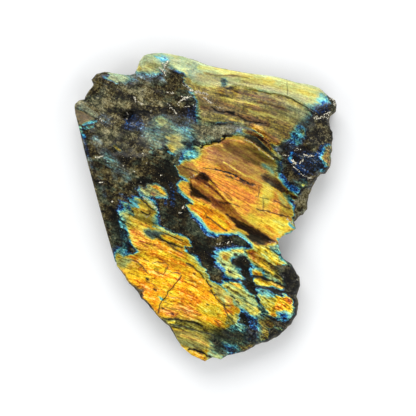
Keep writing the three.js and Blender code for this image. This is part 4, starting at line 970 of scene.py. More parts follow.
    # the middle, all streaks
    area([-22, -25, -12, -26, -2, -34, 6, -43, 2, -50, -12, -46, -24, -34], 6, 0.81, shade=1.08, quiet=0.4)
    for at in [(-24, -28.4), (-26, -29.4), (-17.5, -36.6), (-16, -34), (-22.5, -22.6), (-20.6, -31),
        (-34, -36), (-14, -53), (-8, -36.6), (-4, -44)]:
        spot(at, (2.6, 1), -22, 0.71, shade=1.1)
    line([-29, -23, -22, -25.6, -14, -28.6, -8, -32], 1.3, 0.84, shade=0.8)
    line([-30, -36, -22, -38.4, -16, -39.8], 1.4, 0.82, shade=0.85)
    line([-26, -42, -18, -42.6, -9, -44.8], 1.2, 0.68, shade=1.05)
    line([-13, -31, -8, -35, -4, -39.6], 1.4, 0.82, shade=0.9)
    line([-16, -24, -11, -26.4, -8, -28], 1, 0.7, shade=1)
    line([-27, -18.6, -20, -21, -12, -24], 1.4, 0.82, shade=0.85)
    area([-25.8, -43.2, -24, -43, -23.2, -44, -24, -45, -25, -44.3], 0.6, 0.1, 0.5, 0.5)
    spot((-23.3, -45), (1.5, 0.9), -20, 0.37, 0.8)
    area([-38.6, -39.3, -34, -39.9, -30.3, -41.2, -31.6, -46.6, -37, -43], 1.2, 0.7, 0.15, 0.6, haze=0.3,
        rough=0.7)
    area([-44, -30, -30, -34, -20, -43, -24, -52, -36, -42], 4, 0.8, shade=1.04, quiet=0.45)
    line([-33, -38.6, -28, -42, -24, -47], 2.2, 0.88, shade=0.85)
    area([-13, -43, 2, -44, 5, -48, -4, -51, -13, -49], 3, 0.82, shade=0.9)
    area([-22, -48, -8, -49, -2, -56, -20, -55], 3, 0.84, shade=0.8, milk=0.1)
    spot((-13, -48), (1.8, 0.9), -15, shade=0.4)
    area([-2, -46, 6, -49, 8, -53, 2, -54.6, -6, -52], 3, 0.7, 0.95, 0.8)
    area([-9, -24, -6, -24.6, -1, -30.4, 1.6, -35, 6, -40, 9, -45, 4, -42, -1, -35, -6, -28.4], 2, 0.62, 0.85,
        0.75)
    area([3, -38.6, 8, -40.6, 13, -44.4, 13.6, -48, 9, -48, 5, -43.6], 2.4, 0.62, 0.7, 0.8, 0.3)
    area([9, -43.4, 12.6, -44.8, 13, -48, 10, -47.6], 1.4, 0.8, 0.9, 0.9)
    # under the ledge, down to the foot
    area([-24, -55, -14, -54.6, -4, -56, 4, -59, 10, -62, 8, -66, 0, -63, -16, -60], 2, 0.6, 0.45, 0.4,
        quiet=0.3)
    area([-18, -57.6, -10, -57.6, -4, -59.4, 3, -61, 2, -63.6, -6, -61.6, -16, -59.4], 1.6, 0.62, 0.35, 0.5)
    line([-20, -57.6, -16, -56.9], 0.9, 0.66, 1, 1)
    area([-17, -60.6, -6, -61.6, 2, -64.4, 3, -70, -4, -71, -12, -69], 3, 0.64, 0.6, 0.4, 0.35, quiet=0.3)
    line([-19.6, -59.8, -16, -66, -12.6, -69.6, -8, -71.6], 2, 0.74, 1, 0.95, 0.1)
    line([-12, -63.6, -5, -65.6, 1, -68.4], 1.2, 0.76, 0.8, 0.75)
    area([-9.4, -71.4, -5, -72.6, -1, -74.4, 0, -78, -4, -77.4, -9, -75], 1, 0.77, 1, 0.95)
    area([1, -69.5, 4, -71, 10, -71.8, 10.6, -75, 7, -77, 1, -76], 2, 0.54, 0.7, 0.78, 0.45)
    area([3, -64, 12, -60, 20, -62, 26, -66, 26, -70, 18, -73, 10, -73, 4, -71], 3.4, 0.5, 0.1, 0.75, 0.02,
        0.14, rough=0.4)
    area([9.6, -68, 15.4, -68.6, 15, -72.6, 10, -72.6], 2.4, 0.15, 0.35)
    area([12, -58.5, 15, -57, 19, -58, 20, -60, 18, -61.5, 15, -60.5, 13, -60], 1.6, 0.38, 0.4)
    area([10, -53, 16, -53, 15.6, -57.4, 10, -58], 2, 0.6, 0.5, 0.62)
    spot((21, -69.6), (3.4, 1.6), 15, 0.8, 0.25)


def paint_lower_right(area, line, spot):
    """The patchwork of the lower right: gold flakes in dark stone."""
    area([5, -22, 9, -21.5, 14, -20.3, 19.5, -20.5, 20, -22, 19, -24, 16, -24.3, 13.5, -25, 12, -26.5,
        13, -28.3, 15, -29.5, 16.5, -31, 17.5, -33.5, 19, -35.3, 17, -35, 14, -35.5, 11.5, -35, 9.5, -33.5,
        8, -31, 6, -29, 5, -27, 4.3, -24.5], 2.2, 0.55, 0.85, milk=0.2, glow=0.5)
    area([8, -22.6, 12, -22.4, 12.4, -25, 10, -26.4, 8, -25.4], 1.6, 0.72, 0.9, 0.8)
    area([10, -27.4, 13, -28.8, 16, -31.6, 14, -34, 11, -31.6], 1.8, 0.58, 0.8, 0.85)
    line([13, -21.6, 18, -21.6], 1, 0.6, 0.8)
    line([4.4, -22.4, 6, -23, 4.8, -25], 0.9, 0.22, 0.95)
    line([6, -28, 7.6, -29.8, 9, -31.4], 1, 0.22, 0.9)
    line([15.4, -30, 17, -32.4, 18, -34.4], 0.9, 0.34, 1)
    for at in [(12, -32), (14.6, -23.4), (8.6, -28.4)]:
        spot(at, (1.2, 0.7), -35, flash=0.1, shade=0.4)
    area([9, -37, 12, -36.5, 16, -37.3, 18.3, -39, 19.7, -41, 20.5, -42.5, 23.5, -43.5, 25, -46, 25.5, -48.5,
        24, -50, 22.5, -49, 20, -50, 17.5, -49.5, 14.5, -49, 13, -46.5, 14.5, -45, 12, -43, 9.5, -40.5,
        7.5, -39], 1.8, 0.6, 0.7, 0.72)
    area([12.2, -36.8, 17, -38, 17.6, -40.8, 13.6, -40], 1, 0.85, 1, 1, 0.2)
    line([16.5, -37, 19, -39.5, 20.4, -42], 0.9, 0.31, 0.95, 1)
    spot((14, -46.8), (1, 2), 0, 0.44, 0.7, 0.9)
    line([18, -44.4, 21, -46, 23, -48.4], 1, 0.68, 0.8, 0.9)
    line([15, -42, 18, -44, 20, -47], 0.8, flash=0.3, shade=0.3)
    line([11, -39.6, 14, -42.4, 16, -43], 0.7, flash=0.4, shade=0.4)
    area([26, -47.5, 29, -50, 29.5, -53, 27, -53.5, 25, -50.5], 1.6, 0.4, 0.35)
    spot((18.5, -51.5), (1.3, 0.9), 0, 0.27, 0.9)
    area([16.5, -53.6, 19.6, -53, 22.4, -54.6, 22.6, -57, 21, -58.6, 18.5, -57.5], 1, flash=0.03, shade=0.7,
        haze=0.1)
    area([17, -48.6, 24, -48.6, 27, -53, 25, -55, 20, -51.8], 2, 0.54, 0.8, 0.9, 0.1)
    line([19, -51, 22, -55, 25, -60, 26, -66], 1.8, 0.2, 0.42)
    spot((23.6, -58.6), (2.6, 1.6), 0, 0.16, 0.5)
    spot((25.6, -60.3), (1, 0.8), 0, 0.27, 0.9)
    area([13, -28, 15, -25.5, 17, -24.3, 19, -24.5, 20.5, -26.5, 23, -28.3, 22, -30, 21.5, -33, 22, -35,
        23.5, -38, 26, -39.8, 28, -42.5, 25.5, -44, 23.5, -43, 20.8, -41.5, 19.8, -39, 18, -36.8, 19.5, -35.3,
        17.8, -33, 17, -30.5, 15, -29.3], 1.4, flash=0.05, haze=0.14)
    area([20, -21, 23, -20.5, 27, -22.5, 30, -25, 34, -28.5, 36.5, -31, 38, -34, 39, -38, 35, -36.5, 31, -35,
        29, -33, 27.5, -31, 25, -29.5, 22.5, -27.5, 20.5, -25], 1.6, 0.74, 0.45, 0.55, 0.05)
    line([22.5, -28.3, 25, -30, 27.5, -31.8, 28.6, -32.4], 1, 0.28, 0.9, 1)
    line([21, -25.4, 22.4, -27, 24.2, -28.4], 0.9, 0.5, 0.8, 1)
    line([23, -22.8, 27, -25.6, 31, -29], 1.2, 0.68, 0.85, 0.9)
    line([21.6, -22, 26, -24, 30, -27.4, 34, -31], 0.8, flash=0.3, shade=0.3)
    line([28, -29, 32, -32.4, 36, -35], 1.3, flash=0.3, shade=0.45)
    area([20.4, -21.6, 24, -21.6, 28, -24.4, 30, -27.6, 27, -29.6, 22.6, -25.6], 1, 0.87, 0.9, 0.52)
    area([22, -31, 24, -30.5, 27, -32, 29, -34.5, 33, -36.5, 37, -38.5, 39, -39.7, 36, -40, 32, -39.3, 27, -39,
        24, -38.3, 23.5, -36.5, 25, -35, 23, -33.5, 22, -33], 1.2, 0.69, 0.9, 0.75)
    area([24, -35.4, 27, -35.6, 31, -37.4, 31, -38.8, 26, -38.4], 1.4, 0.65, 1, 0.95)
    line([31, -37.6, 35, -38.8, 38, -39.6], 0.9, 0.75, 1, 0.95)
    line([22.2, -31, 22.3, -34], 0.9, 0.26, 0.75)
    area([24, -31.2, 27, -32.4, 28.6, -34.2, 25, -33.8], 1, 0.8, 0.9, 0.9)
    area([22.8, -19, 26, -19.5, 30.4, -19.8, 33, -21.8, 36.5, -23.8, 38, -25.3, 40, -27, 43, -28.8,
        41.5, -29.3, 38, -28.3, 36, -28.3, 34, -28.5, 31, -26.3, 27.5, -23.5, 24, -21], 1, 0.63, 1, 1)
    line([36.3, -24.5, 37.5, -26, 39.5, -27.3, 43, -28.6], 0.9, 0.3, 1)
    area([31, -19, 35, -19.3, 37.5, -21, 38.3, -23.3, 36, -22.5, 33.5, -20.8], 1.4, 0.54, 0.75, milk=0.2)
    spot((35.8, -28.8), (1.5, 0.8), -20, 0.84, 0.9)
    line([26, -21.6, 31, -24, 35, -27], 0.9, 0.72, 1)
    area([34.7, -29.4, 42, -28.8, 47, -34, 48, -40, 46.6, -43, 39, -40.4, 38.6, -35, 36.4, -31], 1.6,
        flash=0.04, shade=0.6, haze=0.12, rough=0.35)
    area([36, -29.2, 42, -29.2, 42.4, -31.4, 37.4, -31.4], 1.6, milk=0.15, haze=0.4)
    area([26, -40.5, 29, -40.3, 32, -42, 34.5, -43.5, 33, -44.5, 30, -43.3, 27, -42.5], 1.4, 0.42, 0.6)
    area([28, -43, 33, -44, 36.5, -43.8, 39, -43.2, 41, -44.5, 42.5, -46.5, 43, -48.5, 43.8, -50, 42, -52,
        41.5, -54.5, 40, -55, 36, -54.5, 33, -54, 30, -53.5, 29, -50, 26.5, -47, 27.5, -44.5], 1.4, 0.7, 0.9,
        0.95, rim=0.1)
    area([27.6, -44, 33, -45, 35, -48, 31, -51, 27, -48], 2, 0.6, 0.75, 0.8)
    area([35, -43.8, 41, -44.8, 43, -48.4, 43.2, -52.4, 38, -50.6, 34, -49], 1.6, 0.84, 1, 1.1)
    area([30, -50.4, 34, -50.4, 34, -53.6, 30.6, -53.2], 1.2, 0.84, 0.8, 0.7)
    line([30, -45.6, 35, -47.6, 40, -50.6], 0.8, 0.66, 1, 1)
    line([34.8, -52.4, 38, -51.5, 41, -52.4, 41.7, -54.4, 38.6, -56.4, 35.4, -55.6], 0.9, 0.34, 0.9, 1)
    spot((38.2, -53.3), (3.2, 2.1), 0, 0.37, 1, 1.2, 0.3)
    line([35.2, -53.6, 36.4, -51.9, 38.6, -51.3, 40.8, -52.6], 0.9, 0.35, 1, 1.4, 0.3)
    spot((38.1, -54), (2, 1.5), 0, 0.16, 1, 1.3, 0)
    spot((38.6, -53.4), (0.5, 0.4), flash=0.1, shade=0.3)
    for points in [[27, -41.2, 30, -41.6, 33, -43.4], [25, -40.6, 28, -42, 30.4, -44.2]]:
        line(points, 1.3, 0.37, 1, 1.25, 0.25)
    line([26, -43.4, 28.6, -46, 30, -48.4], 1.6, 0.58, 0.9, 1.1)
    line([27, -28, 30, -30.4, 33, -33], 1.3, 0.78, 0.9, 0.95)
    area([26.5, -55, 30.5, -55, 31, -58, 29, -62, 27.5, -66, 26, -66, 26, -61], 2, 0.74, 0.35, 0.75, 0.15)
    area([31, -56.6, 42, -57.4, 43, -60, 36, -67, 30, -69, 28.6, -64, 31, -60], 2, flash=0.05, shade=0.8,
        haze=0.2, rough=0.7)
    line([48, -36, 46.6, -43, 44, -52, 41.6, -58, 36, -65, 28, -70, 18, -74, 10, -76], 2.4, flash=0.05,
        shade=0.7, haze=0.08, rough=0.8)
    spot((36.5, -60.3), (2, 1.2), -25, 0.54, 0.3)
    spot((31, -57.4), (3.4, 2.2), -40, 0.72, 0.3, 0.4, 0.1)
    spot((28.8, -63), (1.8, 3), -20, 0.74, 0.4, 0.45)
    area([20, -60, 26, -60.6, 25.6, -67, 20, -67], 2.4, 0.2, 0.15, haze=0.35)


def paint_right_side(area, line, spot):
    """The dark right side, with an electric blue spot and pale crumbs."""
    area([41, 26, 44, 29, 56, 27, 58, 24, 59, 19, 55, 15.5, 50, 14, 45, 17, 42, 20], 3, 0.13, 0.24, haze=0.2)
    spot((47, 18.6), (4, 2.4), -35, 0.14, 0.42)
    line([42.6, 26.6, 41.3, 24.3, 42, 22.4], 1.2, 0.23, 1, 1.2)
    spot((41.2, 24.5), (0.6, 0.7), 0, 0.32, 1)
    area([57, 25, 59, 29.5, 61, 30.5, 63.4, 29, 63.6, 26, 62.9, 22, 61.6, 19.5, 59.8, 20.5, 58, 23], 1.6, 0.82,
        0.4, 0.6, 0.4)
    spot((62, 26), (1.4, 2.4), 0, 0.34, 0.4, milk=0.4)
    line([59.3, 20.2, 57.3, 23.5, 56.5, 26, 57.5, 28.3, 59.5, 30.8, 61, 31], 1.1, 0.32, 1, 1.1)
    line([55.4, 24, 55, 27, 57.4, 30], 1.4, 0.13, 0.6)
    spot((58, 17.4), (1.6, 0.8), 0, 0.3, 0.4)
    area([51, 13, 57.4, 16.4, 57, 17.6, 52, 17], 1.6, haze=0.4)
    area([44, 13, 50, 13, 50.6, 9, 46, 8], 2.4, 0.45, 0.22)
    spot((48, 10.5), (0.9, 0.7), 0, 0.62, 0.8)
    area([42.5, -5, 43.6, 2, 46, 8.6, 51, 9.4, 52.6, 2, 51.4, -4, 46, -7], 1.2, flash=0.03, shade=0.55,
        haze=0.65, rough=0.9)
    line([43.4, -3, 44.4, 2, 46, 7], 1.4, shade=0.5)
    spot((48.3, -2.5), (1.6, 1.2), 0, 0.26, 0.2, milk=0.2)
    area([38.6, 9.4, 45, 8.6, 45.4, 5.4, 42.6, 5.2, 40, 6.6], 1, flash=0.1, shade=0.4, haze=0.1)


def paint_face(paint, along, across):
    """Every region in turn, from the dull ground up to the brightest flakes, then lines and unevenness."""
    x, y, fields = paint.x, paint.y, paint.fields
    area, line, spot = paint.area, paint.line, paint.spot
    cloudy = layered_noise(x / 7, y / 7, 61)
    fields["haze"][:] = 0.26 + 0.12 * cloudy
    area([-20, 4, -8, 4, 0, -4, 2, -16, -10, -14, -22, -6], 5, haze=0.24)
    area([-6, -16, 2, -16, 6, -22, 4, -30, -4, -26], 4, haze=0.14)
    area([3, -64, 12, -60, 20, -62, 44, -58, 44, -66, 20, -76, 2, -76], 4, haze=0.16)
    area([38, -26, 50, -28, 52, -42, 46, -44, 38, -38], 3, haze=0.12)
    for region in (paint_upper_hollow, paint_band, paint_shoulder, paint_right_side, paint_fan, paint_small_patch,
                   paint_plate, paint_lower_right):
        region(area, line, spot)
    # Painted highlight: a pale line along the top left edge, where the rim catches the light
    line([-64.7, 50.5, -63.7, 52.6, -60.1, 54.4, -57, 59.7, -56.6, 63.9, -51.7, 67.1, -48.2, 66.7, -42.5, 66.4,
        -37.6, 66.4, -34.1, 68.1], 1.1, shade=1.3, haze=0.62)
    line([-48, 22, -43, 18, -38.6, 13.6], 2.6, 0.33, 0.2, milk=0.2, haze=0.3)
    spot((-33.3, -41.8), (2.8, 1.2), -38, 0.8, 0.3, 0.25)
    spot((-23.4, -44.8), (1.5, 0.7), -35, 0.34, 0.9, 0.8)
    area([10, 58, 30, 55, 44, 50, 48, 44, 40, 40, 26, 40, 14, 44, 8, 50], 4, milk=0.36)
    # The strip along the shoulder's lower slope: partly its yellow flash, partly a painted sheen of the light
    line([19, 64.2, 28, 62.4, 38, 59.8, 48, 56.8, 52.6, 54.8], 2.4, 0.62, 0.85, 1.05, 0.35)
    spot((8.5, 61.8), (1.7, 1.7), -30, 0.34, 0.3, 0.42, 0.2)
    area([-14.4, 19, -12, 21.6, -8.6, 23, -5.4, 22.6, -4, 19.4, -6.4, 16.6, -9, 15, -13, 16.6], 1.6, milk=0.34)
    area([-1, 26.5, 9.8, 30.7, 20.6, 28.3, 27.8, 21.7, 32.6, 13.3, 29, 12.7, 23, 14.5, 15.8, 18.1, 9.8, 21.7,
        2, 21.1], 3, milk=0.42)
    spot((-35.6, 1.6), (2.4, 2), -40, 0.33, 0.8, 0.8)
    area([9, -39, 14, -38, 20, -43, 26, -50, 27, -54, 22, -53, 15, -47], 2, 0.63, milk=0.1)
    spot((5.4, -74.2), (2.8, 1.4), 0, 0.58, 0.9, 1.05, 0.4)
    fields["haze"] = np.maximum(1.3 * fields["haze"] - 0.1, 0.03)
    for strength, width, points in CRACKS_AND_LEDGE_SHADOWS:
        paint.fine("crack", strength, width, roughened(points, 0.6 * width))
    for strength, width, points in BRUISES:
        paint.fine("bruise", strength, 0.35 + 0.3 * width, roughened(points, 0.6 * width), halo=0.3 * width)
    fields["rough"] = np.maximum(fields["rough"], 0.55 * roughness_at(x, y))
    warm = ease((fields["phase"] - 0.4) / 0.3)
    fields["phase"] += 0.05 * warm * layered_noise(across / 3.5, along / 20, 35, 2)
    patchwork = warm * ease((x - 4) / 5) * ease((-17 - y) / 5)
    fields["phase"] += 0.15 * patchwork * layered_noise(across / 1.7, along / 5, 39, 2)
    fields["shade"] *= 1 + 0.4 * patchwork * layered_noise(across / 1.3, along / 5, 40, 2)
    fields["shade"] *= 1 + 0.25 * layered_noise(across / 2.4, along / 22, 37, 3) + 0.14 * cloudy


# ------------------------------------------------------------------------------
# The stone's mesh


def thin_out(groups):
    """The points of several groups in turn, without any that stands nearer than its group's space to a kept one."""
    cell = 0.6
    kept, cells = [], {}
    for points, space in groups:
        for x, y in points:
            column, row = int(x // cell), int(y // cell)
            around = [(column + c, row + r) for c in (-1, 0, 1) for r in (-1, 0, 1)]
            near = [kept[k] for place in around for k in cells.get(place, ())]
            if all((x - u) ** 2 + (y - v) ** 2 > space * space for u, v in near):
                cells.setdefault((column, row), []).append(len(kept))
                kept.append((x, y))
    return kept


def even_points(loop, step, inset):
    """Points in even rows inside a loop, a little out of line."""
    loop = np.array(loop)
    low, high = loop.min(0), loop.max(0)
    rows = int((high[1] - low[1]) / (step * 0.866)) + 1
    columns = int((high[0] - low[0]) / step) + 1
    column, row = np.meshgrid(np.arange(columns), np.arange(rows))
    x = low[0] + (column + 0.5 * (row % 2) + 0.13 * lattice(column, row, 71)) * step
    y = low[1] + (row * 0.866 + 0.13 * lattice(column, row, 72)) * step
    x, y = x.ravel(), y.ravel()
    inside = depth_in_loop(loop.tolist(), x, y)[0] > inset
    return list(zip(x[inside].tolist(), y[inside].tolist()))


def roughened(line, amount):
    """A line with small irregular bends, as a crack has."""
    line = pairs(line)
    places, _ways = walk_line(line, FINE_STEP)
    places = np.vstack([places, line[-1]])
    x, y = places.T
    return (places + amount * np.stack([noise(x / 1.1, y / 1.1, 33), noise(x / 1.1, y / 1.1, 34)], 1)).tolist()


def triangles_between(points, loop_count):
    """Triangles between points, inside the loop that the first of them make, all facing up."""
    sides = [(i, (i + 1) % loop_count) for i in range(loop_count)]
    flat = [Vector(point) for point in points]
    places, _sides, corners, *_ids = delaunay_2d_cdt(flat, sides, [], 1, 1e-7, False)
    places = np.array(places)
    if len(places) != len(points) or np.abs(places - np.array(points)).max() > 1e-4:
        raise RuntimeError("the outline crosses itself")
    corners = np.array(corners)
    a, b, c = places[corners[:, 0]], places[corners[:, 1]], places[corners[:, 2]]
    turned = (b[:, 0] - a[:, 0]) * (c[:, 1] - a[:, 1]) < (b[:, 1] - a[:, 1]) * (c[:, 0] - a[:, 0])
    corners[turned] = corners[turned][:, ::-1]
    outer = np.nonzero((corners < loop_count).all(1))[0]
    middle = places[corners[outer]].mean(1)
    outside = depth_in_loop(places[:loop_count].tolist(), *middle.T)[0] < 0
    return np.delete(corners, outer[outside], 0)


def wall_set_backs(ring, height, relief):
    """How far each point of the wall stands back from the outline, by rows from the foot to below the rim."""
    run = np.broadcast_to(ring.run, height.shape)
    back = 1.9 * (0.5 - 0.55 * facets(run, 1.15 * height, 6.2, 41))
    back += 0.7 * (0.5 - 0.5 * facets(run, height, 2.5, 51)) + 0.12 * noise(run / 1.1, height / 1.1, 61)
    back += 0.8 * np.exp(-height / 1.5)
    back *= relief * ring.lumps * ring.room
    least = back.min(0)
    reach = round(2 / ring.step)
    least = sum(np.roll(least, k) for k in range(-reach, reach + 1)) / (2 * reach + 1)
    return np.maximum(back - least, 0)


class Stone:
    """The face, the wall and the back, sewn into one closed mesh, with the fields that its material reads."""

    def __init__(self, spacing, relief, crack_depth):
        self.ring = ring = Ring(FINE_STEP)
        rim = ring.set_back(ring.lean)
        beside = []
        for _strength, width, points in [*CRACKS_AND_LEDGE_SHADOWS, *BRUISES]:
            places, ways = walk_line(roughened(points, 0.6 * width), spacing)
            across = np.stack([-ways[:, 1], ways[:, 0]], 1)
            beside += [places, places + across * width, places - across * width]
        beside = np.vstack(beside)
        beside = beside[depth_in_loop(rim.tolist(), *beside.T)[0] > 0.4]
        even = even_points(rim, spacing, 0.3)
        groups = [(rim.tolist(), 0), (beside.tolist(), 0.5 * spacing), (even, 0.72 * spacing)]
        points = thin_out(groups)
        self.face = triangles_between(points, ring.count)
        x, y = np.array(points).T
        height, depth, _nearest = face_height(x, y, Ring(COARSE_STEP))
        along, across, way = lamella_coordinates(x, y)
        self.paint = paint = Painter(x, y, along, across, way)
        paint_face(paint, along, across)
        fields = paint.fields
        rough = fields["rough"]
        height += rough * (0.42 * facets(x, y, 2.1, 81) + 0.16 * facets(x, y, 0.95, 91)) * ease(depth / 1.5)
        height += 0.04 * noise(x / 5, y / 5, 95) - crack_depth * fields["crack"] - 0.15 * fields["bruise"]
        fields["sawn"] = np.zeros(len(x))
        fields["rough"] = np.maximum(rough, 0.7 * ease(1 - depth / WORN_RIM))

        # the wall, row by row from the foot
        share = np.linspace(0, 1, WALL_ROWS + 1)[:-1, None]
        wall_z = share * height[: ring.count]
        back = wall_set_backs(ring, wall_z, relief)
        back = ring.lean + (back - ring.lean) * ease((1 - share) / 0.14)
        wall = [ring.set_back(row) for row in back]
        wall_x = np.concatenate([row[:, 0] for row in wall])
        wall_y = np.concatenate([row[:, 1] for row in wall])
        start = len(x)
        lower = start + np.arange(WALL_ROWS * ring.count).reshape(WALL_ROWS, ring.count)
        grid = np.vstack([lower, np.arange(ring.count)])
        following = np.roll(grid, -1, 1)
        sides = [grid[:-1], following[:-1], following[1:], grid[1:]]
        self.wall = np.stack([side.ravel() for side in sides], 1)
        self.wall_station = np.tile(np.arange(ring.count), WALL_ROWS)

        # the back, flat
        foot = wall[0]
        inner = even_points(foot, BACK_STEP, 1.5)
        back_points = [*foot.tolist(), *inner]
        corners = triangles_between(back_points, ring.count)[:, ::-1]
        back_start = start + WALL_ROWS * ring.count
        names = np.concatenate([lower[0], back_start + np.arange(len(inner))])
        self.back = names[corners]
        inner = np.array(inner)

        self.x = np.concatenate([x, wall_x, inner[:, 0]])
        self.y = np.concatenate([y, wall_y, inner[:, 1]])
        self.z = np.concatenate([height, wall_z.ravel(), np.zeros(len(inner))])
        self.fields = self.spread_fields(fields, along, across, wall_z, len(inner))

    def spread_fields(self, fields, along, across, wall_z, inner):
        """The face's fields, carried down the wall, where the flash soon dies, and over the back."""
        ring = self.ring
        count = ring.count
        down = (self.z[:count] - wall_z).ravel()
        rows = len(wall_z)
        sawn = np.tile(ring.sawn.astype(float), rows)
        run = np.tile(ring.run, rows)
        spread = {}
        for name, field in fields.items():
            rim = np.tile(field[:count], rows)
            if name == "flash":
                rim = rim * 0.6 * ease(1 - down / (3.2 + 2 * noise(run / 6, run * 0, 101)))
            elif name in ("crack", "bruise", "milk"):
                rim = rim * ease(1 - down / 1.5)
            elif name == "shade":
                rim = np.ones(len(down))
            elif name == "haze":
                rim = 0.34 + 0.3 * layered_noise(run / 7, down / 5, 103)
            elif name == "rough":
                rim = np.where(sawn > 0, 0.7, 0.95)
            elif name == "sawn":
                rim = sawn
            plain = {"shade": 1.0, "haze": 0.42, "rough": 0.7, "sawn": 1.0}.get(name, 0.0)
            spread[name] = np.concatenate([field, rim, np.full(inner, plain)])
        far_along, far_across, _way = lamella_coordinates(self.x[len(along):], self.y[len(along):])
        spread["along"] = np.concatenate([along, far_along])
        spread["across"] = np.concatenate([across, far_across])
        return spread

    def map_places(self):
        """A place in one square map for each corner: the face large, the wall in seven strips, the back small."""
        ring = self.ring
        x, y, z = self.x, self.y, self.z
        left, low = x.min(), y.min()
        margin, strips, face_scale, wall_scale, back_scale = 0.008, 7, 0.0052, 0.0037, 0.0021
        face = self.face.ravel()
        face_uv = margin + np.stack([x[face] - left, y[face] - low], 1) * face_scale
        per_strip = math.ceil(ring.count / strips)
        strip = self.wall_station // per_strip
        length = ring.run[-1] + ring.step
        run = ring.run[self.wall_station]
        after = np.append(ring.run[1:], length)[self.wall_station]
        start = ring.run[strip * per_strip]
        u = 0.70 + wall_scale * (np.stack([run, after, after, run], 1) - start[:, None])
        v = 0.345 + 0.0935 * strip[:, None] + wall_scale * z[self.wall]
        back = self.back.ravel()
        back_uv = np.stack([0.98 - (x[back] - left) * back_scale, margin + (y[back] - low) * back_scale], 1)
        return np.vstack([face_uv, np.stack([u.ravel(), v.ravel()], 1), back_uv])

    def make_object(self, name):
        mesh = bpy.data.meshes.new(name)
        places = np.stack([self.x, self.y, self.z], 1) * MM
        faces = [*self.face.tolist(), *self.wall.tolist(), *self.back.tolist()]
        mesh.from_pydata(places.tolist(), [], faces)
        mesh.polygons.foreach_set("use_smooth", np.ones(len(faces), bool))
        mesh.uv_layers.new(name="OFBake").uv.foreach_set("vector", self.map_places().astype(np.float32).ravel())
        fields = dict(self.fields)
        along, across = fields.pop("along"), fields.pop("across")
        for field, values in fields.items():
            mesh.attributes.new(field, "FLOAT", "POINT").data.foreach_set("value", values.astype(np.float32))
        layers = np.stack([along, across + 0.5 * (FACE_HEIGHT - self.z), self.z], 1)
        lamella = mesh.attributes.new("lamella", "FLOAT_VECTOR", "POINT")
        lamella.data.foreach_set("vector", layers.astype(np.float32).ravel())
        mesh.set_sharp_from_angle(angle=math.radians(SHARP_ANGLE))
        mesh.validate()
        stone = bpy.data.objects.new(name, mesh)
        bpy.context.scene.collection.objects.link(stone)
        return stone


# ------------------------------------------------------------------------------
# The stone's material


def srgb(red, green, blue):
    """A colour of three bytes as the linear numbers that Blender keeps."""
    shares = [value / 255 for value in (red, green, blue)]
    return tuple(v / 12.92 if v <= 0.04045 else ((v + 0.055) / 1.055) ** 2.4 for v in shares)


class Nodes:
    """A material's node tree, built from short calls that each return a socket."""

    def __init__(self, material):
        material.use_nodes = True
        self.tree = material.node_tree
        self.tree.nodes.clear()

    def add(self, kind, inputs=(), **settings):
        node = self.tree.nodes.new(kind)
        for name, value in settings.items():
            setattr(node, name, value)
        for name, value in dict(inputs).items():
            if isinstance(value, bpy.types.NodeSocket):
                self.tree.links.new(value, node.inputs[name])
            else:
                node.inputs[name].default_value = value
        return node

    def field(self, name):
        return self.add("ShaderNodeAttribute", attribute_name=name).outputs["Fac"]

    def math(self, operation, *values, clamp=False):
        return self.add("ShaderNodeMath", enumerate(values), operation=operation, use_clamp=clamp).outputs[0]

    def times(self, first, second, **settings):
        return self.math("MULTIPLY", first, second, **settings)

    def larger(self, first, second):
        return self.math("MAXIMUM", first, second)

    def plus(self, first, second):
        return self.math("ADD", first, second)

    def scaled(self, value, factor, more):
        """The value times the factor, and more."""
        return self.math("MULTIPLY_ADD", value, factor, more)

    def swayed(self, *waves, middle=0.0):
        """The middle, moved up and down by several noises, each with its own amount."""
        total = middle
        for wave, amount in waves:
            total = self.scaled(self.math("SUBTRACT", wave, 0.5), amount, total)
        return total

    def stretched(self, vector, scale):
        return self.add("ShaderNodeVectorMath", {0: vector, 1: scale}, operation="MULTIPLY").outputs[0]

    def texture(self, vector, scale, detail=3, roughness=0.55, curl=0):
        return self.add("ShaderNodeTexNoise", {
            "Vector": vector, "Scale": scale, "Detail": detail, "Roughness": roughness, "Distortion": curl,
        }).outputs["Fac"]

    def contour(self, value, at, half):
        """1 where the value is just so much, 0 where it is off by half or more."""
        return self.between(self.math("ABSOLUTE", self.math("SUBTRACT", value, at)), 0.0, half, 1.0, 0.0)

    def between(self, value, low, high, least=0.0, most=1.0):
        """A smooth rise from least to most as the value goes from low to high."""
        inputs = {"Value": value, "From Min": low, "From Max": high, "To Min": least, "To Max": most}
        return self.add("ShaderNodeMapRange", inputs, interpolation_type="SMOOTHSTEP").outputs[0]

    def mix(self, share, first, second, blend="MIX"):
        inputs = {0: share, 6: first, 7: second}
        return self.add("ShaderNodeMix", inputs, data_type="RGBA", blend_type=blend).outputs[2]

    def scale_colour(self, colour, factor):
        node = self.add("ShaderNodeVectorMath", {0: colour, "Scale": factor}, operation="SCALE")
        return node.outputs[0]

    def ramp(self, value, stops):
        node = self.add("ShaderNodeValToRGB", {"Fac": value})
        elements = node.color_ramp.elements
        while len(elements) > 1:
            elements.remove(elements[-1])
        elements[0].position, elements[0].color = stops[0][0], (*stops[0][1], 1)
        for position, colour in stops[1:]:
            elements.new(position).color = (*colour, 1)
        return node.outputs["Color"]


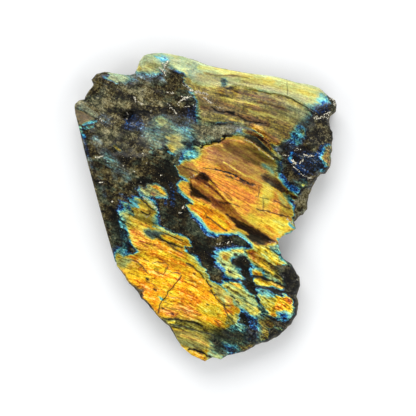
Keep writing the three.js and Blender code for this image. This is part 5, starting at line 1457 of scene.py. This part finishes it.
def labradorite_material(look):
    """Dark feldspar with a play of colour along its lamellae, a pale veil that is partly a painted sheen, a painted
    glint on the brightest warm flash, bruises, cracks with a few painted ledge shadows, and broken ground.
    """
    material = bpy.data.materials.new("labradorite")
    nodes = Nodes(material)
    times, larger, plus, scaled, between = nodes.times, nodes.larger, nodes.plus, nodes.scaled, nodes.between
    contour, texture, stretched = nodes.contour, nodes.texture, nodes.stretched
    swayed, mix = nodes.swayed, nodes.mix
    place = nodes.add("ShaderNodeTexCoord").outputs["Object"]
    place = stretched(place, (1000, 1000, 1000))
    layers = nodes.add("ShaderNodeAttribute", attribute_name="lamella").outputs["Vector"]
    bands = texture(stretched(layers, (0.05, 0.4, 0.3)), 1, 2, 0.5)
    streaks = texture(stretched(layers, (0.11, 0.9, 0.7)), 1, 3, 0.65)
    threads = texture(stretched(layers, (0.36, 2.2, 1.5)), 1, 2, 0.6)
    seams = texture(stretched(layers, (0.035, 0.5, 0.3)), 1, 3, 0.55)
    grain = texture(place, 0.9, 4, 0.7)
    mottle = texture(place, 0.28, 4, 0.6)
    clouds = texture(place, 0.1, 3, 0.6)
    flecks = texture(place, 1.7, 2, 0.6)
    curls = texture(place, 0.42, 2, 0.6, curl=2)
    curl = contour(curls, 0.52, 0.035)
    phase, flash, shade = (nodes.field(name) for name in ("phase", "flash", "shade"))
    milk, haze, rough = (nodes.field(name) for name in ("milk", "haze", "rough"))
    crack, bruise, sawn = (nodes.field(name) for name in ("crack", "bruise", "sawn"))
    lively = nodes.math("SUBTRACT", 1, nodes.field("quiet"))
    calm = times(scaled(milk, -0.6, 1), lively)

    warm = between(phase, 0.42, 0.7, 0.4, 1)
    sway = swayed((streaks, 2.1), (threads, 2.7), (grain, 2), (flecks, 0.9), (bands, 1.5), (mottle, 0.9))
    turn = scaled(sway, -0.13, swayed((bands, 0.5), (mottle, 0.45)))
    hue = scaled(turn, times(warm, scaled(lively, 0.7, 0.3)), phase)
    broken = times(swayed((grain, 0.5), (flecks, 0.35)), between(phase, 0.6, 0.4))
    hue = plus(hue, broken)
    lit = nodes.ramp(hue, [
        (0, look.navy), (0.13, look.deep_blue), (0.21, look.blue), (0.29, look.cyan), (0.42, look.sea_green),
        (0.55, look.lime), (0.65, look.yellow), (0.75, look.gold), (0.85, look.amber), (0.93, look.rust),
        (1, look.brown)])
    brightness = scaled(sway, calm, 0.9)
    faint = times(between(phase, 0.55, 0.35), between(clouds, 0.6, 0.42))
    brightness = times(brightness, scaled(faint, -0.4, 1))
    seen = between(mottle, 0.42, 0.54, 0.15, 1)
    dark_seams = times(contour(seams, 0.5, 0.035), seen)
    pale_seams = times(contour(seams, 0.56, 0.03), seen)
    fine_seams = times(contour(streaks, 0.44, 0.03), 0.5)
    dark_seams = times(larger(dark_seams, fine_seams), calm)
    brightness = scaled(times(pale_seams, calm), 0.35, brightness)
    brightness = times(brightness, scaled(dark_seams, -0.7, 1))
    lit = nodes.scale_colour(lit, larger(brightness, 0.08))
    # The glint: a painted highlight, pale gold, where a warm flash is brightest
    glint = times(between(brightness, 1.08, 1.55, 0, 0.65), warm)
    lit = mix(glint, lit, (*look.glint, 1))

    light = swayed((mottle, 1.6), (grain, 1.6), (flecks, 0.7), (streaks, 1.2), (bands, 0.5), (clouds, 1.1))
    light = scaled(light, scaled(haze, 1.4, 0.35), haze)
    olive = nodes.ramp(light, [
        (0, look.stone_black), (0.25, look.stone_dark), (0.6, look.stone_olive), (1, look.stone_pale)])
    slate = nodes.ramp(light, [
        (0, look.stone_black), (0.25, look.slate_dark), (0.6, look.slate), (1, look.stone_pale)])
    cool = between(scaled(streaks, 0.6, clouds), 0.76, 0.9)
    cool = times(cool, scaled(rough, -0.9, 1))
    body = mix(cool, olive, slate)

    ragged = swayed((streaks, 1.4), (grain, 1.4), (threads, 0.8), (flecks, 0.7))
    ragged = times(times(ragged, between(flash, 0, 0.4)), lively)
    strength = between(plus(flash, ragged), 0, 0.9)
    colour = mix(strength, body, lit)
    # The pale veil: partly milky stone, partly a painted sheen of the light on the sloping shoulder
    veil_and_sheen = nodes.add("ShaderNodeRGB")
    veil_and_sheen.outputs[0].default_value = (*look.veil_and_sheen, 1)
    veil_and_sheen = nodes.scale_colour(veil_and_sheen.outputs[0], larger(brightness, 0.2))
    colour = mix(times(milk, scaled(mottle, 0.9, 0.15)), colour, veil_and_sheen)
    dull = scaled(times(rough, rough), -0.6, plus(rough, haze))
    dull = nodes.math("SUBTRACT", dull, strength, clamp=True)
    pits = larger(rough, times(seen, 0.5))
    pits = times(between(flecks, 0.38, 0.3, 0, 0.9), pits)
    pits = larger(pits, times(contour(curls, 0.44, 0.04), dull))
    hairs = contour(texture(place, 0.15, 2, 0.55), 0.5, 0.01)
    hairs = times(hairs, between(streaks, 0.44, 0.54, 0, 0.75))
    pits = larger(pits, times(hairs, calm))
    specks = times(curl, between(plus(grain, mottle), 0.95, 1.12, 0, 0.85))
    specks = times(specks, scaled(dull, 2.6, -0.35), clamp=True)
    specks = larger(specks, between(flecks, 0.68, 0.73, 0, 0.6))
    colour = mix(specks, colour, (*look.stone_pale, 1))
    crumbs = swayed((flecks, 2.6), (grain, 1.3), middle=times(bruise, 0.7))
    crumbs = times(between(crumbs, 0.42, 0.6), between(bruise, 0.02, 0.15))
    colour = mix(crumbs, colour, (*look.cream, 1))
    # Cracks and pits turn dark; along a few ledge steps and in the groove this dark is painted shadow
    dark = larger(times(crack, 1.25, clamp=True), pits)
    colour = mix(dark, colour, (*look.fissure_and_shadow, 1))
    colour = nodes.scale_colour(colour, shade)

    gloss = scaled(rough, 0.45, scaled(grain, 0.16, 0.08))
    gloss = larger(gloss, times(larger(bruise, crack), 0.6))
    gloss = larger(gloss, scaled(shade, -0.7, 0.6))
    open_to_light = times(shade, 1.4, clamp=True)
    marks = nodes.add("ShaderNodeVectorMath", {0: place, 1: (0.5, -1.9, 0.12)}, operation="DOT_PRODUCT")
    marks = nodes.add("ShaderNodeCombineXYZ", {0: marks.outputs["Value"]}).outputs[0]
    marks = times(texture(marks, 1, 2), sawn)
    tooth = times(texture(place, 1.6, 5, 0.7), scaled(rough, 1, 0.03))
    height = plus(tooth, scaled(marks, 0.3, times(streaks, 0.03)))
    bump = nodes.add("ShaderNodeBump", {"Height": height, "Strength": 0.6, "Distance": 0.0005}).outputs[0]
    surface = nodes.add("ShaderNodeBsdfPrincipled", {
        "Base Color": colour, "Roughness": gloss, "Normal": bump, "IOR": 1.56,
        "Specular IOR Level": times(scaled(rough, -0.14, 0.21), open_to_light)})
    nodes.add("ShaderNodeOutputMaterial", {"Surface": surface.outputs[0]})
    return material


# ------------------------------------------------------------------------------
# Settings


def colour_property(name, description, *colour):
    return FloatVectorProperty(name=name, description=description, subtype="COLOR", size=3, min=0, max=1,
                               default=srgb(*colour))


class LabradoriteSizes(bpy.types.PropertyGroup):
    spacing: FloatProperty(
        name="Point spacing", description="Distance between two points of the face's mesh", unit="LENGTH",
        default=0.0005, min=0.00045, max=0.003)
    crack_depth: FloatProperty(
        name="Crack depth", description="How deep the open cracks of the face are", unit="LENGTH",
        default=0.0004, min=0, max=0.001)
    wall_relief: FloatProperty(
        name="Wall relief", description="How strongly the broken edge is hollowed, 1 for the stone as it is",
        subtype="FACTOR", default=1.0, min=0, max=1.5)


class LabradoriteLook(bpy.types.PropertyGroup):
    navy: colour_property("Navy", "Flash at its weakest", 13, 18, 24)
    deep_blue: colour_property("Deep blue", "Outer margin of a flash", 16, 42, 84)
    blue: colour_property("Blue", "Margin of a flash", 24, 110, 200)
    cyan: colour_property("Cyan", "Inner margin of a flash", 96, 214, 230)
    sea_green: colour_property("Sea green", "Flash between blue and yellow", 145, 215, 175)
    lime: colour_property("Lime", "Flash between green and yellow", 210, 222, 120)
    yellow: colour_property("Yellow", "Brightest flash", 252, 224, 54)
    gold: colour_property("Gold", "Flash of the great lobes", 254, 200, 30)
    amber: colour_property("Amber", "Flash between gold and rust", 250, 152, 18)
    rust: colour_property("Rust", "Deep orange flash", 222, 100, 16)
    brown: colour_property("Brown", "Flash as it dies on the warm side", 140, 64, 22)
    stone_black: colour_property("Stone, black", "Clear stone without flash", 8, 7, 4)
    stone_dark: colour_property("Stone, dark", "Dark stone, warm", 42, 34, 16)
    stone_olive: colour_property("Stone, olive", "Cloudy stone, warm", 102, 89, 46)
    stone_pale: colour_property("Stone, pale", "Broken, dry stone", 176, 166, 124)
    slate_dark: colour_property("Slate, dark", "Dark stone, cool", 28, 33, 24)
    slate: colour_property("Slate", "Cloudy stone, cool", 72, 82, 62)
    # Painted highlight on the brightest parts of a warm flash
    glint: colour_property("Glint", "Brightest threads of a warm flash", 255, 238, 140)
    # Partly a painted sheen: the pale veil over the sloping shoulder
    veil_and_sheen: colour_property("Veil", "Milky veil over the upper part", 206, 208, 172)
    cream: colour_property("Cream", "Bruises and crumbs", 228, 220, 196)
    # The fissure colour fills cracks and pits, and also the painted shadow lines along a few ledge steps and in the
    # groove
    fissure_and_shadow: colour_property("Fissure", "Inside of cracks", 8, 6, 4)


class LabradoriteStage(bpy.types.PropertyGroup):
    camera_height: FloatProperty(
        name="Camera height", description="Height of the camera above the floor", unit="LENGTH", default=0.591,
        min=0.3, max=2)
    light: FloatProperty(
        name="Light", description="Strength of the studio light, 1 for a nearly white floor", subtype="FACTOR",
        default=1.0, min=0.1, max=4)
    floor: colour_property("Floor", "Colour of the floor", 252, 252, 252)


# ------------------------------------------------------------------------------
# Operators


class OBJECT_OT_labradorite_slab(bpy.types.Operator):
    """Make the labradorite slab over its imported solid"""

    bl_idname = "object.labradorite_slab"
    bl_label = "Labradorite Slab"

    def execute(self, context):
        sizes = context.scene.labradorite_sizes
        stone = Stone(sizes.spacing / MM, sizes.wall_relief, sizes.crack_depth / MM)
        piece = stone.make_object("polished_labradorite")
        piece.data.materials.append(labradorite_material(context.scene.labradorite_look))
        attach(piece, "root")
        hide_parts(NODE)
        return {"FINISHED"}


# Lamps: name, turn and tilt in degrees, size in metres, power in watts
LAMP_DISTANCE = 1.4
LAMPS = [("key light", 100, 40, 1.0, 11.8), ("left light", 190, 48, 1.1, 5.6), ("right light", -10, 48, 1.1, 5.6),
         ("front light", -80, 48, 1.1, 5.2)]


class SCENE_OT_labradorite_stage(bpy.types.Operator):
    """Make the floor, the soft lights and the camera"""

    bl_idname = "scene.labradorite_stage"
    bl_label = "Studio Stage"

    def execute(self, context):
        stage = context.scene.labradorite_stage
        self.make_floor(stage)
        self.make_lights(context.scene, stage)
        self.make_camera(context.scene, stage)
        context.scene.view_settings.view_transform = "Standard"
        return {"FINISHED"}

    def make_floor(self, stage):
        mesh = bpy.data.meshes.new("floor")
        mesh.from_pydata([(-3, -3, 0), (3, -3, 0), (3, 3, 0), (-3, 3, 0)], [], [(0, 1, 2, 3)])
        floor = bpy.data.objects.new("floor", mesh)
        bpy.context.scene.collection.objects.link(floor)
        material = bpy.data.materials.new("pale floor")
        nodes = Nodes(material)
        surface = nodes.add("ShaderNodeBsdfPrincipled", {
            "Base Color": (*stage.floor, 1), "Roughness": 0.9, "Specular IOR Level": 0.1}).outputs[0]
        nodes.add("ShaderNodeOutputMaterial", {"Surface": surface})
        mesh.materials.append(material)
        floor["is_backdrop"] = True

    def make_lights(self, scene, stage):
        world = bpy.data.worlds.new("studio")
        world.use_nodes = True
        sky = world.node_tree.nodes["Background"].inputs
        sky["Color"].default_value = (0.9, 0.95, 1, 1)
        sky["Strength"].default_value = 0.31 * stage.light
        scene.world = world
        for name, turn, tilt, size, power in LAMPS:
            lamp = bpy.data.lights.new(name, "AREA")
            lamp.size = size
            lamp.energy = power * stage.light
            light = bpy.data.objects.new(name, lamp)
            away, turn = math.radians(tilt), math.radians(turn)
            way = Vector((math.sin(away) * math.cos(turn), math.sin(away) * math.sin(turn), math.cos(away)))
            light.location = LAMP_DISTANCE * way
            light.rotation_euler = way.to_track_quat("Z", "Y").to_euler()
            scene.collection.objects.link(light)

    def make_camera(self, scene, stage):
        camera = bpy.data.objects.new("camera", bpy.data.cameras.new("camera"))
        camera.data.lens = 100
        camera.data.sensor_width = 36
        camera.location = (0.001, -0.0005, stage.camera_height)
        scene.collection.objects.link(camera)
        scene.camera = camera


class VIEW3D_PT_labradorite(bpy.types.Panel):
    bl_label = "Labradorite slab"
    bl_space_type = "VIEW_3D"
    bl_region_type = "UI"
    bl_category = "Labradorite"

    def draw(self, context):
        column = self.layout.column()
        for group in SETTINGS:
            settings = getattr(context.scene, group)
            for name in settings.bl_rna.properties.keys():
                if name not in ("rna_type", "name"):
                    column.prop(settings, name)
        for operator in OPERATORS:
            column.operator(operator.bl_idname)


OPERATORS = [OBJECT_OT_labradorite_slab, SCENE_OT_labradorite_stage]
SETTINGS = {
    "labradorite_sizes": LabradoriteSizes,
    "labradorite_look": LabradoriteLook,
    "labradorite_stage": LabradoriteStage,
}


def register():
    for kind in [*SETTINGS.values(), *OPERATORS, VIEW3D_PT_labradorite]:
        bpy.utils.register_class(kind)
    for name, kind in SETTINGS.items():
        setattr(bpy.types.Scene, name, PointerProperty(type=kind))


def unregister():
    for name in SETTINGS:
        delattr(bpy.types.Scene, name)
    for kind in reversed([*SETTINGS.values(), *OPERATORS, VIEW3D_PT_labradorite]):
        bpy.utils.unregister_class(kind)


def main():
    register()
    bpy.ops.scene.labradorite_stage()
    bpy.ops.object.labradorite_slab()
    boxes = {"cad": CAD_BOX, "visual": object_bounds()}
    {name: [list(corner) for corner in box] for name, box in boxes.items()}


if __name__ == "__main__":
    main()
